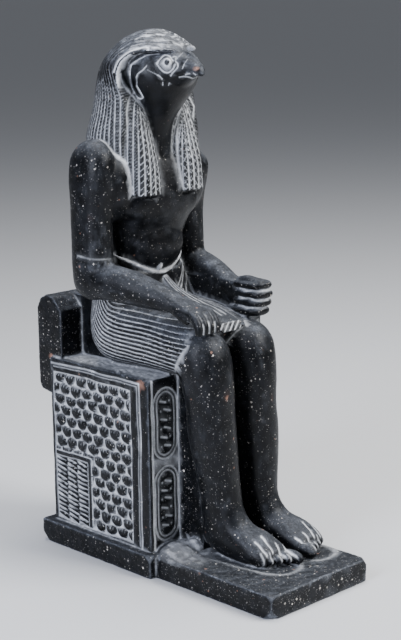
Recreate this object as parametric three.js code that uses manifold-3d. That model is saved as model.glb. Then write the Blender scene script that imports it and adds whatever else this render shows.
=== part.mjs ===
// A seated falcon-headed figure with a long braided wig, carved in one piece with its throne and
// plinth from black speckled stone. Millimetres, +Z up. The figure faces -Y, its right hand is at -X.
import * as THREE from "three";
import { mergeVertices } from "three/addons/utils/BufferGeometryUtils.js";
import Module from "manifold-3d";

const wasm = await Module();
wasm.setup();

// Heights above the table
const totalHeight = 300;
const plinthHeight = 13.4;
const seatHeight = 112.4;

// Plinth: wide under the throne, a little narrower under the feet
const plinthLedge = 5;
const plinthRearLedge = 6.5;
const plinthFrontWidth = 77;
const plinthStep = 4.2;
const toeMargin = 18.5;
const plinthBevel = 1;

// Throne
const throneWidth = 76;
const throneDepth = 84.4;
const throneFront = -3.2;

// Low backrest that hangs over the rear of the seat
const backrestWidth = 72;
const backrestThickness = 21.5;
const backrestOverhang = 13;
const backrestRise = 36;
const backrestDrop = 24;
const backrestRound = 8;

// Carved fields on the throne
const carvingDepth = 1;
const lineWidth = 1.1;
const lineDepth = 0.6;
const frameMargin = 3.4;
const frameBand = 11;
const scalePitchAcross = 9.6;
const scalePitchDown = 6.6;
const scaleGap = 1.5;
const scaleRoot = 0.2;
const hiddenSideFinish = 1.8;
const doorWidth = 31;
const doorHeight = 39;
const doorBand = 2.8;
const wedgeColumns = 3;
const wedgeRows = 9;
const cartoucheWidth = 15;
const cartoucheGap = 5;
const strokeRows = 4;
const cornerChip = 5;

// Stone left standing behind the legs and between the figure and the backrest
const legTieWidth = 31;
const legTieReach = 22;
const backTieWidth = 40;
const backTieHeight = 24;
const backTieStart = 40;

// The figure is drawn at these levels, and follows its seat, its plinth and its own height
const drawnSole = 13.4;
const drawnSeat = 112.4;
const drawnCrown = 300;
const girth = (totalHeight - seatHeight) / (drawnCrown - drawnSeat);
const legStretch = (seatHeight - plinthHeight) / (drawnSeat - drawnSole);

// Carving on the figure
const wigLocks = 24;
const lappetLocks = 5;
const lockDepth = 0.8 * girth;
const pleats = 9;
const pleatDepth = 0.7 * girth;
const kiltSteps = 6;
const armSides = 10;
const fingerSides = 6;
const fingerCount = 4;
const toeCount = 5;
const toeTip = 77;

const mergeStep = 1e-4;
const degrees = Math.PI / 180;

// Height of a point of the drawn figure, once the seat and the plinth have their real heights.
function level(z) {
  if (z < drawnSeat) return plinthHeight + (z - drawnSole) * legStretch;
  return seatHeight + (z - drawnSeat) * girth;
}

// A closed solid from a geometry whose faces point outwards.
function solid(geometry) {
  for (const name of Object.keys(geometry.attributes)) {
    if (name !== "position") geometry.deleteAttribute(name);
  }
  const shared = mergeVertices(geometry, mergeStep);
  const vertProperties = new Float32Array(shared.attributes.position.array);
  const triVerts = new Uint32Array(shared.index.array);
  return new wasm.Manifold(new wasm.Mesh({ numProp: 3, vertProperties, triVerts }));
}

function join(parts) {
  return parts.reduce((whole, part) => whole.add(part));
}

function box(x0, x1, y0, y1, z0, z1) {
  const geometry = new THREE.BoxGeometry(x1 - x0, y1 - y0, z1 - z0);
  geometry.translate((x0 + x1) / 2, (y0 + y1) / 2, (z0 + z1) / 2);
  return solid(geometry);
}

// A flat outline pushed from a start to an end, with its edges bevelled inwards if asked. On the
// "side" it is in (y, z) and pushed along +X, on the "front" in (x, z) and pushed along +Y, and
// on the "top" in (x, y) and pushed along +Z.
function plate(points, start, end, face, bevel = 0) {
  const shape = new THREE.Shape(points.map(([a, b]) => new THREE.Vector2(a, b)));
  const geometry = new THREE.ExtrudeGeometry(shape, {
    depth: end - start - 2 * bevel,
    bevelEnabled: bevel > 0,
    bevelThickness: bevel,
    bevelSize: bevel,
    bevelOffset: -bevel,
    bevelSegments: 1,
  });
  geometry.translate(0, 0, face === "front" ? bevel - end : bevel + start);
  if (face === "side") geometry.rotateY(90 * degrees);
  if (face !== "top") geometry.rotateX(90 * degrees);
  return solid(geometry);
}

// Uniform Catmull-Rom value between b and c.
function between(a, b, c, d, t) {
  const slope = (c - a) / 2;
  const nextSlope = (d - b) / 2;
  const cubic = 2 * b - 2 * c + slope + nextSlope;
  const square = -3 * b + 3 * c - 2 * slope - nextSlope;
  return ((cubic * t + square) * t + slope) * t + b;
}

// More stations on a smooth curve through the given ones.
function fair(stations, steps) {
  const last = stations.length - 1;
  return Array.from({ length: steps + 1 }, (_, step) => {
    const place = (step / steps) * last;
    const first = Math.min(Math.floor(place), last - 1);
    const near = [-1, 0, 1, 2].map((k) => stations[Math.min(Math.max(first + k, 0), last)]);
    return near[1].map((_, i) => between(near[0][i], near[1][i], near[2][i], near[3][i], place - first));
  });
}

// A rounded section's points, evenly spaced along its outline.
function section(halfX, over, under, power, sides) {
  const fine = sides * 12;
  const dense = Array.from({ length: fine + 1 }, (_, i) => {
    const c = Math.cos((i / fine) * 2 * Math.PI);
    const s = Math.sin((i / fine) * 2 * Math.PI);
    const reach = s > 0 ? over : under;
    return [Math.sign(c) * Math.abs(c) ** (2 / power) * halfX, Math.sign(s) * Math.abs(s) ** (2 / power) * reach];
  });
  const run = [0];
  for (let i = 1; i <= fine; i += 1) {
    run.push(run[i - 1] + Math.hypot(dense[i][0] - dense[i - 1][0], dense[i][1] - dense[i - 1][1]));
  }
  return Array.from({ length: sides }, (_, i) => dense[run.findIndex((way) => way >= (i / sides) * run[fine])]);
}

// A skin over rounded sections. A station is [x, y, z, half width, reach over the centre, reach
// under it, squareness, tilt]: a section of tilt 0 lies flat and reaches over to the rear, one of
// tilt 90 stands up and leads forward, and one of tilt 180 leads down and reaches over to the front.
// The carve function gives a depth for a point of a section, from its number and its station's.
function loft(stations, sides, carve = () => 0) {
  const positions = [];
  const rings = stations.map(([x, y, z, halfX, over, under, power, tilt], row) => {
    const centre = new THREE.Vector3(x * girth, y * girth, level(z));
    const up = new THREE.Vector3(0, Math.cos(tilt * degrees), Math.sin(tilt * degrees));
    const ring = section(halfX * girth, over * girth, under * girth, power, sides).map(([a, b], i) => {
      const keep = 1 - carve(i, row) / Math.hypot(a, b);
      return centre.clone().add(new THREE.Vector3(a * keep, 0, 0)).addScaledVector(up, b * keep);
    });
    return { centre, ring };
  });
  const face = (...points) => points.forEach((p) => positions.push(p.x, p.y, p.z));
  for (let i = 0; i < sides; i += 1) {
    const next = (i + 1) % sides;
    const bottom = rings[0];
    const top = rings[rings.length - 1];
    face(bottom.centre, bottom.ring[next], bottom.ring[i]);
    face(top.centre, top.ring[i], top.ring[next]);
    for (let row = 0; row + 1 < rings.length; row += 1) {
      const low = rings[row].ring;
      const high = rings[row + 1].ring;
      face(low[i], low[next], high[next]);
      face(low[i], high[next], high[i]);
    }
  }
  const geometry = new THREE.BufferGeometry();
  geometry.setAttribute("position", new THREE.Float32BufferAttribute(positions, 3));
  return solid(geometry);
}

// Stone left standing between limbs, in the drawn figure's measures.
function block(xA, xB, y0, y1, z0, z1) {
  const [x0, x1] = [Math.min(xA, xB) * girth, Math.max(xA, xB) * girth];
  return box(x0, x1, y0 * girth, y1 * girth, level(z0), level(z1));
}

// A small rounded boss at a point of the figure.
function knob(x, y, z, rx, ry, rz, sides = 8, rows = 4) {
  const geometry = new THREE.SphereGeometry(girth, sides, rows);
  geometry.scale(rx, ry, rz);
  geometry.translate(x * girth, y * girth, level(z));
  return solid(geometry);
}

// Every second point of a section is pressed in, which leaves a lock or a pleat between. The
// furrows run out at the first and the last station.
const furrows = (depth, last) => (i, row) => (i % 2 ? depth * Math.min(1, row, (last - row) / 2) : 0);

function makeWig() {
  const cap = loft([
    [0, 36, 224, 29.5, 27, 22, 2.4, 0],
    [0, 36, 240, 33, 30, 25.5, 2.15, 0],
    [0, 34, 256, 29.5, 28.5, 24, 2.15, 0],
    [0, 31, 275, 25.5, 27, 26, 2.2, 0],
    [0, 27, 284, 23.4, 27.5, 26.5, 2.2, 0],
    [0, 26, 290, 20, 24.6, 25, 2.05, 0],
    [0, 26, 295.5, 13.5, 18, 18.5, 2, 0],
    [0, 27, 298.8, 7, 9.5, 10, 2, 0],
    [0, 28, 300, 1.5, 2, 2, 2, 0],
  ], wigLocks * 2, furrows(lockDepth, 8));
  const opening = plate([
    [-40, 220], [24, 220], [23, 246], [22.5, 256], [24.5, 264.5], [28.5, 271],
    [30, 277], [28, 282.5], [23, 286.5], [16, 288.5], [-40, 288.5],
  ].map(([y, z]) => [y * girth, level(z)]), -40 * girth, 40 * girth, "side");
  const lappets = [-1, 1].map((side) => loft([
    [side * 17.7, 24, 210.4, 7.8, 10.8, 10.8, 3.4, 0],
    [side * 20.6, 27, 225, 10, 13, 14, 2.6, 0],
    [side * 22, 28, 240, 10.4, 14, 14, 2.3, 0],
    [side * 22.2, 32, 256, 7.2, 12, 12.6, 2.3, 0],
    [side * 21.4, 37, 278, 3.8, 7, 7.4, 2.3, 0],
    [side * 20.6, 36, 284, 3, 6, 7, 2.3, 0],
  ], lappetLocks * 4, furrows(lockDepth, 5)));
  return join([cap.subtract(opening), ...lappets]);
}

function makeHead() {
  const neck = loft([
    [0, 30, 222, 11, 14, 12, 2.2, 0],
    [0, 29, 234, 11, 14, 13.6, 2.2, 0],
    [0, 25, 252, 12.6, 14, 16.5, 2, 0],
    [0, 22.5, 260, 15, 14, 18.5, 2, 0],
    [0, 21, 266.5, 18, 14, 19.5, 2, 0],
    [0, 20, 273, 20.4, 14, 18.5, 2.1, 0],
    [0, 21, 281, 20, 14, 15.5, 2.2, 0],
    [0, 22, 287, 16, 13, 13, 2.2, 0],
  ], 10);
  const face = loft([
    [0, 34, 276, 16.5, 12.5, 12.5, 2.3, 90],
    [0, 16, 277.5, 16.6, 12, 12, 2.3, 90],
    [0, 8.5, 278, 15.4, 11.3, 11.3, 2.2, 90],
    [0, 3.5, 279, 12.4, 10.2, 10.6, 2.1, 90],
    [0, -1.5, 280, 8.8, 8.9, 8.6, 2, 90],
    [0, -6, 280.3, 6, 6.8, 5.8, 2, 90],
    [0, -9.5, 279.4, 4.5, 4.7, 4.6, 2, 90],
    [0, -12, 278, 2.6, 2.8, 3, 2, 90],
    [0, -13, 276.4, 0.9, 1.4, 1.6, 2, 90],
  ], 16);
  const eyes = [-1, 1].flatMap((side) => {
    const rim = new THREE.TorusGeometry(3.4 * girth, 0.9 * girth, 4, 8);
    rim.rotateY(90 * degrees);
    rim.rotateZ(-side * 35 * degrees);
    rim.translate(side * 12.1 * girth, 2.9 * girth, level(282));
    return [solid(rim), knob(side * 12, 2.9, 282, 1.9, 2, 1.9)];
  });
  const nub = knob(0, -1.4, 289.6, 2, 3.2, 1.8, 6, 3);
  return join([neck, face, nub, ...eyes]);
}

function makeTorso() {
  const trunk = loft([
    [0, 40, 150, 26, 17, 17, 2.4, 0],
    [0, 40, 166, 23.5, 15.5, 16, 2.3, 0],
    [0, 40, 178, 23, 16, 17, 2.3, 0],
    [0, 39, 190, 25.5, 18, 19, 2.4, 0],
    [0, 38, 200, 29, 20, 22, 2.4, 0],
    [0, 38, 214, 33, 20.5, 22.5, 2.4, 0],
    [0, 39, 230, 36, 17, 19, 2.5, 0],
    [0, 39, 240, 26, 13, 13, 2.3, 0],
  ], 16);
  const armWebs = [-1, 1].map((side) => block(side * 20, side * 37, 38, 50, 158, 228));
  const shoulders = [-1, 1].map((side) => knob(side * 28, 33, 216, 14, 13.5, 21, 8, 4));
  return join([trunk, ...armWebs, ...shoulders]);
}

function makeArms() {
  const rightUpper = loft([
    [-40, 36, 153.5, 5, 7, 7, 2, 0],
    [-40, 37, 158, 8, 11.5, 11.5, 2.1, 0],
    [-39.5, 38, 168, 9.5, 13.2, 13.2, 2.2, 0],
    [-39.5, 38, 200, 9.5, 13.2, 13.2, 2.2, 0],
    [-39, 37, 220, 10.3, 15, 14.5, 2.2, 0],
    [-38.5, 37, 232, 9.8, 13.5, 13.5, 2.2, 0],
    [-37.5, 37, 239, 6.5, 8.5, 8.5, 2, 0],
    [-37, 37, 241.5, 2, 3, 3, 2, 0],
  ], armSides);
  const leftUpper = loft([
    [35, 38, 156, 5, 7, 7, 2, 0],
    [35, 39, 162, 8, 12, 12, 2.1, 0],
    [34, 40.5, 178, 8.5, 12.6, 12.6, 2.2, 0],
    [34, 40.5, 200, 8.6, 12.6, 12.6, 2.2, 0],
    [35.2, 38.5, 222, 9.3, 14.5, 13.6, 2.2, 0],
    [35.2, 38, 232, 9, 13, 12.6, 2.2, 0],
    [34.5, 38, 239, 6, 8, 8, 2, 0],
    [34, 38, 241, 2, 3, 3, 2, 0],
  ], armSides);
  const rightFore = loft([
    [-39, 40, 163, 8.6, 9, 9, 2.1, 90],
    [-38.5, 27, 164, 9.6, 9.6, 10.5, 2.1, 90],
    [-34, 9, 162, 9, 8.8, 10, 2.1, 90],
    [-28.5, -7, 158, 7.6, 6.4, 7.5, 2.2, 90],
    [-24.5, -17, 154.5, 7.4, 4.6, 5.2, 2.4, 90],
    [-21.8, -26, 150.5, 8.6, 4.2, 4.2, 2.6, 90],
    [-21.2, -31, 148, 8.2, 3.4, 3.4, 2.6, 90],
  ], armSides);
  const leftFore = loft([
    [34.5, 42, 164, 8.6, 8, 8, 2.1, 90],
    [34.2, 28, 164, 8.8, 8.2, 9.5, 2.1, 90],
    [32, 12, 160, 8.6, 7.8, 9.4, 2.1, 90],
    [29, -3, 155.5, 7.2, 6.4, 7.6, 2.1, 90],
    [27.5, -12, 153, 6, 6.4, 7, 2.2, 90],
    [27.2, -16, 152.6, 7, 8, 8, 2.4, 90],
  ], armSides);
  const stoneUnderArm = block(23, 35, -12, 40, 128, 160);
  return join([rightUpper, leftUpper, rightFore, leftFore, stoneUnderArm]);
}

function makeHands() {
  const fingers = Array.from({ length: fingerCount }, (_, i) => {
    const x = -27.8 + i * 4.2;
    return loft([
      [x, -24, 151, 1.9, 2.4, 2.4, 2.2, 90],
      [x - 0.3, -30, 149, 2, 2.4, 2.4, 2.2, 110],
      [x - 0.6, -33.5, 144.5, 1.9, 2.2, 2.2, 2.2, 150],
      [x - 0.8, -34, 141.5, 1.4, 1.6, 1.6, 2, 180],
    ], fingerSides);
  });
  const rolls = Array.from({ length: fingerCount }, (_, i) => (
    knob(27.2, -22 + (i % 2) * 0.6, 159.4 - i * 4.9, 7.6, 10, 2.9, 8, 4)
  ));
  const thumb = loft([
    [25.5, -12, 160.5, 3, 2.4, 2.4, 2, 90],
    [25, -20, 161.6, 3.4, 2.6, 2.6, 2, 90],
    [25.5, -29, 160.6, 3, 2.2, 2.2, 2, 90],
  ], fingerSides);
  const support = block(20, 30, -24, -6, 134, 146);
  return join([...fingers, ...rolls, thumb, support]);
}

function makeKilt() {
  const cloth = loft(fair([
    [0, 40, 174, 24.8, 17, 17, 2.3, 180],
    [0, 41.3, 152, 30.5, 20.8, 20.8, 2.5, 178],
    [0, 39.5, 134, 33, 25.5, 25.5, 2.6, 135],
    [0, 22, 131.6, 33, 20.4, 20.4, 2.7, 90],
    [0, 3, 130.3, 32.2, 18.8, 18.8, 2.7, 90],
    [0, -15.5, 126.5, 30, 16.5, 16.5, 2.6, 118],
  ], kiltSteps), pleats * 8, furrows(pleatDepth, kiltSteps));
  const tab = loft([
    [0, 30, 156, 3, 4, 4, 4, 90],
    [0, 4, 149, 5, 4, 4, 4, 90],
    [-0.5, -18, 144.5, 7.5, 4, 4, 4, 90],
    [-1, -31, 141, 8.2, 2.6, 2.6, 4, 90],
  ], 12);
  return join([cloth, tab]);
}

function makeLegs() {
  const right = [
    [-16.5, 0, 127, 13.5, 13, 13, 2.2, 90],
    [-16.5, -15, 126.5, 14.4, 13.6, 13.4, 2.2, 92],
    [-16.2, -24, 123, 14.8, 17.6, 16, 2.1, 128],
    [-15.8, -28, 110, 13, 14.6, 15, 2.2, 172],
    [-15.3, -29.5, 96, 11.9, 13.2, 14.5, 2.3, 180],
    [-14.3, -30, 80, 12, 13, 14.5, 2.3, 180],
    [-12, -30.5, 62, 10.8, 12.2, 12.8, 2.3, 180],
    [-10, -31, 48, 10, 12, 12.2, 2.3, 175],
    [-9.2, -32, 38, 9.8, 12.2, 13.6, 2.3, 162],
    [-8.6, -34.5, 28, 10, 14.6, 16.5, 2.3, 140],
    [-7.6, -43, 22.5, 10.8, 12, 11, 2.3, 115],
    [-5.8, -54, 20, 12, 9.8, 8, 2.4, 97],
    [-4.4, -63, 18.6, 12.4, 7, 6, 2.5, 90],
    [-4, -69, 17.6, 12, 4.6, 5, 2.5, 90],
  ];
  const leftX = [17.5, 18, 18.6, 18, 17.6, 18.8, 19.4, 19, 19.2, 20, 21.4, 23.6, 25, 25.5];
  const left = right.map(([, ...rest], row) => [leftX[row], ...rest]);
  const limbs = [[right, -1, -4], [left, 1, 25.5]].map(([stations, side, foot]) => {
    const toes = Array.from({ length: toeCount }, (_, i) => {
      const across = foot - side * (9.6 - i * 4.8);
      return knob(across, -70.5 + i * 1.7, 17.2, 2.9 - i * 0.15, 6.5, 3.4, 6, 3);
    });
    return join([loft(stations, 12), ...toes]);
  });
  return join(limbs);
}

// The seat block: plinth, throne, backrest, and the stone that ties the legs to the throne and the
// figure to the backrest.
const halfThrone = throneWidth / 2;
const throneRear = throneFront + throneDepth;
const plinthRear = throneRear + plinthRearLedge;
const plinthFront = -toeTip * girth - toeMargin;
const halfRearPlinth = halfThrone + plinthLedge;
const halfFrontPlinth = plinthFrontWidth / 2;
const stepY = throneFront - plinthStep;
const backrestRear = throneRear + backrestOverhang;
const backrestFront = backrestRear - backrestThickness;
const bury = 2;

function makeSeat() {
  const plinth = plate([
    [-halfRearPlinth, plinthRear], [-halfRearPlinth, stepY],
    [-halfFrontPlinth, stepY], [-halfFrontPlinth, plinthFront],
    [halfFrontPlinth, plinthFront], [halfFrontPlinth, stepY],
    [halfRearPlinth, stepY], [halfRearPlinth, plinthRear],
  ], 0, plinthHeight, "top", plinthBevel);
  const throne = box(-halfThrone, halfThrone, throneFront, throneRear, plinthHeight - bury, seatHeight);
  const round = backrestRound;
  const top = seatHeight + backrestRise;
  const low = seatHeight - backrestDrop;
  const backrest = plate([
    [backrestFront, low], [backrestRear - bury, low + round / 3], [backrestRear, low + round * 0.7],
    [backrestRear, top - round], [backrestRear - round * 0.35, top - round * 0.35],
    [backrestRear - round, top], [backrestFront + round * 0.8, top - round / 8],
    [backrestFront, top - round],
  ], -backrestWidth / 2, backrestWidth / 2, "side");
  const legTie = box(
    -legTieWidth / 2, legTieWidth / 2, -legTieReach * girth, throneFront + bury,
    plinthHeight - bury, seatHeight + bury,
  );
  const backTie = box(
    -backTieWidth / 2, backTieWidth / 2, backTieStart * girth, Math.max(backrestFront, throneRear) + bury,
    seatHeight - bury, seatHeight + backTieHeight,
  );
  return join([plinth, throne, backrest, legTie, backTie]);
}

// Feather scales with pointed ends, in staggered rows. A finish of 1 is the finest.
function makeScales(low, high, y0, y1, z0, z1, finish, isDoor) {
  const columns = Math.floor((y1 - y0) / scalePitchAcross / finish);
  const rows = Math.floor((z1 - z0) / scalePitchDown / finish);
  const pitchY = (y1 - y0) / columns;
  const pitchZ = (z1 - z0) / rows;
  const half = (pitchY - scaleGap) / 2;
  const scales = [];
  for (let row = 0; row < rows; row += 1) {
    for (let column = 0; column < columns - (row % 2); column += 1) {
      const y = y0 + (column + 0.5 + (row % 2) / 2) * pitchY;
      const z = z1 - (row + 0.5) * pitchZ;
      if (isDoor(y + half, z - pitchZ / 2)) continue;
      const top = z + (pitchZ - scaleGap) / 2;
      const tip = z - (pitchZ - scaleGap) / 2;
      scales.push(plate([
        [y - half, top], [y - half, z], [y, tip], [y + half, z], [y + half, top],
      ], low, high, "side"));
    }
  }
  return scales;
}

// Rows of small slanted wedges inside the door panel.
function makeWedges(low, high, y0, y1, z0, z1) {
  const width = (y1 - y0) / wedgeColumns;
  const height = (z1 - z0) / wedgeRows;
  const wedges = [];
  for (let column = 0; column < wedgeColumns; column += 1) {
    for (let row = 0; row < wedgeRows; row += 1) {
      const y = y0 + (column + 0.1) * width;
      const z = z0 + (row + 0.15) * height;
      wedges.push(plate([
        [y, z + height * 0.2], [y + width * 0.8, z], [y + width * 0.8, z + height * 0.6],
      ], low, high, "side"));
    }
  }
  return wedges;
}

// A throne side: a line along its front and top, a sunk field of scales and a small door panel at
// the lower rear. The figure's left side is plainer.
function carveSide(seat, side) {
  const face = side * halfThrone;
  const floor = face - side * carvingDepth;
  const [cutLow, cutHigh] = side < 0 ? [face - bury, floor] : [floor, face + bury];
  const [low, high] = side < 0 ? [face, floor + scaleRoot] : [floor - scaleRoot, face];
  const y0 = throneFront + frameMargin + frameBand;
  const y1 = throneRear - frameMargin;
  const z0 = plinthHeight + frameMargin / 2;
  const z1 = seatHeight - frameMargin - frameBand / 2;
  const lineTop = z1 + frameBand / 2;
  const lineFront = throneFront + frameMargin;
  const doorFront = y1 - doorWidth;
  const doorTop = z0 + doorHeight;
  const isDoor = (y, z) => y > doorFront && z < doorTop;
  const cuts = [
    box(cutLow, cutHigh, y0, y1, z0, z1),
    box(cutLow, cutHigh, lineFront, lineFront + lineWidth, z0, lineTop),
    box(cutLow, cutHigh, lineFront, y1, lineTop - lineWidth, lineTop),
  ];
  const sunk = cuts.reduce((whole, cut) => whole.subtract(cut), seat);
  const door = [
    box(low, high, doorFront, doorFront + doorBand, z0, doorTop),
    box(low, high, doorFront, y1, doorTop - doorBand, doorTop),
  ];
  const wedges = side < 0 ? makeWedges(low, high, doorFront + doorBand, y1, z0, doorTop - doorBand) : [];
  const finish = side < 0 ? 1 : hiddenSideFinish;
  const gap = scaleGap / 2;
  const scales = makeScales(low, high, y0 + gap, y1 - gap, z0, z1 - gap, finish, isDoor);
  return join([sunk, ...scales, ...door, ...wedges]);
}

// A tall loop with round ends, sunk as a line into the throne front, with plain strokes inside it.
function makeCartouche(x, z0, z1) {
  const corners = 3;
  const radius = cartoucheWidth / 2;
  const loop = (half) => [[z1 - radius, 0], [z0 + radius, 180]].flatMap(([middle, start]) => (
    Array.from({ length: corners + 1 }, (_, i) => {
      const angle = (start + (i / corners) * 180) * degrees;
      return [x + half * Math.cos(angle), middle + half * Math.sin(angle)];
    })
  ));
  const front = throneFront - bury;
  const floor = throneFront + lineDepth;
  const inside = plate(loop(radius - lineWidth), front - bury, floor + bury, "front");
  const ring = plate(loop(radius), front, floor, "front").subtract(inside);
  const space = (z1 - z0 - cartoucheWidth) / (strokeRows - 1);
  const half = lineWidth / 2;
  const strokes = Array.from({ length: strokeRows }, (_, row) => {
    const z = z0 + radius + row * space;
    const reach = radius * (row % 2 ? 0.45 : 0.3);
    const bar = box(x - reach, x + reach, front, floor, z - half, z + half);
    if (row % 2 === 0) return [bar];
    return [bar, box(x - half, x + half, front, floor, z + 3 * half, z + space - 3 * half)];
  });
  return join([ring, ...strokes.flat()]);
}

// Two loops, one over the other, on each side of the legs.
function carveFront(seat) {
  const middle = (legTieWidth / 2 + halfThrone) / 2 - lineWidth / 2;
  const low = plinthHeight + frameMargin * 2;
  const high = seatHeight - frameMargin * 1.5;
  const half = (low + high) / 2;
  const cuts = [-1, 1].flatMap((side) => [
    makeCartouche(side * middle, low, half - cartoucheGap / 2),
    makeCartouche(side * middle, half + cartoucheGap / 2, high),
  ]);
  return cuts.reduce((whole, cut) => whole.subtract(cut), seat);
}

// Worn corners of the plinth, and a larger chip at its lower rear corner.
function wearPlinth(seat) {
  const chips = [
    [-halfRearPlinth, plinthRear, 0, cornerChip],
    [-halfRearPlinth, stepY, plinthHeight, cornerChip / 2],
    [halfFrontPlinth, plinthFront, plinthHeight, cornerChip / 2],
    [-halfFrontPlinth, plinthFront, 0, cornerChip / 2],
  ];
  return chips.reduce((whole, [x, y, z, size]) => {
    const chip = new THREE.OctahedronGeometry(size);
    chip.translate(x, y, z);
    return whole.subtract(solid(chip));
  }, seat);
}

const seat = [-1, 1].reduce(carveSide, wearPlinth(carveFront(makeSeat())));
const figure = join([makeWig(), makeHead(), makeTorso(), makeArms(), makeHands(), makeKilt(), makeLegs()]);
const carved = seat.add(figure).getMesh();

const geometry = new THREE.BufferGeometry();
geometry.setAttribute("position", new THREE.Float32BufferAttribute(carved.vertProperties, 3));
geometry.setIndex(Array.from(carved.triVerts));
geometry.computeVertexNormals();

const stone = new THREE.MeshStandardMaterial({ color: 0x17181c, roughness: 0.45, metalness: 0 });
const statue = new THREE.Mesh(geometry, stone);
statue.name = "seated_falcon_figure";

// The origin is in the middle of the plinth's underside.
statue.position.y = -(plinthFront + plinthRear) / 2;
const group = new THREE.Group();
group.add(statue);

export default group;
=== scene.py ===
# A seated falcon figure with a braided wig, carved with its throne from one block of black stone.
# Shapes are worked out in millimetres as the figure is drawn, and stored in metres in the frame.
import bpy
import numpy as np
from mathutils import Matrix, Vector
from mathutils.geometry import tessellate_polygon


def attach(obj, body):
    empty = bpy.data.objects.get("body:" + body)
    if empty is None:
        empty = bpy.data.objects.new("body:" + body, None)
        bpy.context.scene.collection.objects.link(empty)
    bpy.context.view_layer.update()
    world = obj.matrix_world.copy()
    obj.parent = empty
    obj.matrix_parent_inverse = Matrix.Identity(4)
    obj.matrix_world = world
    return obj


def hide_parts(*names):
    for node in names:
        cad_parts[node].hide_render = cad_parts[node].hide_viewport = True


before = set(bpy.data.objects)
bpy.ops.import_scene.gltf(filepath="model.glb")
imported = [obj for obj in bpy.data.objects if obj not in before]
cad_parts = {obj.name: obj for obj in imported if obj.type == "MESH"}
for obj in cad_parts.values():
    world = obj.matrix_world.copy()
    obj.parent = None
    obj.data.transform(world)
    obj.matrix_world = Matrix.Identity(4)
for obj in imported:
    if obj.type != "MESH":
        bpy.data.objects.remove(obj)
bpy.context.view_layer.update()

scene = bpy.context.scene

block = {
    "voxel": 0.48,  # mm, the finest carving is about 1 mm wide
    "roughVoxel": 1.0,  # mm, for the rounded limbs before they are softened together
    "softening": 9,  # rounds that turn the joins of the limbs into fillets
    "polish": 2,  # rounds that take the voxels' steps out of the carved block
    "triangles": 192000,
    "shift": (0, 3.9, 0),  # mm, from the drawn figure to the frame's origin under the plinth
}
kinds = {"body": 1, "kilt": 2, "leg": 3, "arm": 4, "wig": 5, "face": 6, "eye": 7, "finger": 8,
         "toe": 9, "tab": 10, "throne": 11, "plinth": 12, "backrest": 13, "tie": 14, "gap": 15}


# Small shape functions

def fair(stations, steps):
    # Catmull-Rom: each span is a cubic through its two stations with slopes from their neighbours
    s = np.array(stations, float)
    s = np.vstack([s[:1], s, s[-1:]])
    t = np.linspace(0, 1, steps, endpoint=False)[None, :, None]
    a, b, c, d = [s[k:len(s) - 3 + k][:, None, :] for k in range(4)]
    rows = b + 0.5 * t * (c - a + t * (2 * a - 5 * b + 4 * c - d + t * (3 * b - a - 3 * c + d)))
    return np.vstack([rows.reshape(-1, s.shape[1]), s[-1:]])


def outward(points, tris):
    # turn every face outward: the volume by the sum of a . (b x c) / 6 has to come out positive
    a, b, c = [points[tris[:, k]] for k in range(3)]
    return tris if np.einsum("ij,ij->", a, np.cross(b, c)) > 0 else tris[:, ::-1]


def skin(grid, kind):
    # rows by columns of points, the last column meeting the first, closed at both ends by a fan
    rows, cols = grid.shape[:2]
    ids = np.arange(rows * cols).reshape(rows, cols)
    low, lowNext = ids[:-1, :-1].ravel(), ids[:-1, 1:].ravel()
    high, highNext = ids[1:, :-1].ravel(), ids[1:, 1:].ravel()
    first, last = rows * cols, rows * cols + 1
    start, end = ids[0], ids[-1]
    tris = np.concatenate([
        np.stack([low, lowNext, highNext], 1), np.stack([low, highNext, high], 1),
        np.stack([np.full(cols - 1, first), start[1:], start[:-1]], 1),
        np.stack([np.full(cols - 1, last), end[:-1], end[1:]], 1)])
    points = np.vstack([grid.reshape(-1, 3), grid[0, :-1].mean(0), grid[-1, :-1].mean(0)])
    way = np.cumsum(np.linalg.norm(np.diff(grid, axis=1, prepend=grid[:, :1]), axis=2), 1)
    across = (way / np.maximum(way[:, -1:], 1e-6)).ravel()
    along = np.repeat(np.linspace(0, 1, rows), cols)
    values = np.zeros((len(points), 3))
    values[:, 0] = kinds[kind]
    values[:-2, 1], values[:-2, 2] = across, along
    values[-1, 2] = 1
    return points, outward(points, tris), values


def loft(stations, kind, sides=72, steps=8):
    # stations: x, y, z, half width, reach over, reach under, squareness p, tilt. A section point is
    # (x + sgn(c)|c|^(2/p) half width) across and sgn(s)|s|^(2/p) reach along (0, cos tilt, sin tilt),
    # where a tilt that is left out is 0
    rows = fair([[*station, 0][:8] for station in stations], steps)
    x, y, z, half, over, under, power, tilt = [v[:, None] for v in rows.T]
    angle = np.linspace(-0.5, 1.5, sides + 1)[None, :] * np.pi
    c, s = np.cos(angle), np.sin(angle)
    a = np.sign(c) * np.abs(c) ** (2 / power) * np.maximum(half, 0.2)
    b = np.sign(s) * np.abs(s) ** (2 / power) * np.maximum(np.where(s > 0, over, under), 0.2)
    tilt = np.radians(tilt)
    return skin(np.stack([x + a, y + b * np.cos(tilt), z + b * np.sin(tilt)], -1), kind)


def ball(middle, radii, kind, turn=(0, 0, 0), sides=32):
    # ellipsoid: radii times (cos h cos a, cos h sin a, sin h), turned about x, y, z in degrees
    a, h = np.meshgrid(np.linspace(0, 2 * np.pi, sides + 1), np.linspace(-1.55, 1.55, sides // 2))
    grid = np.stack([np.cos(h) * np.cos(a), np.cos(h) * np.sin(a), np.sin(h)], -1) * radii
    for axis, value in zip("XYZ", turn):
        grid = grid @ np.array(Matrix.Rotation(np.radians(value), 3, axis)).T
    return skin(grid + np.array(middle), kind)


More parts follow.
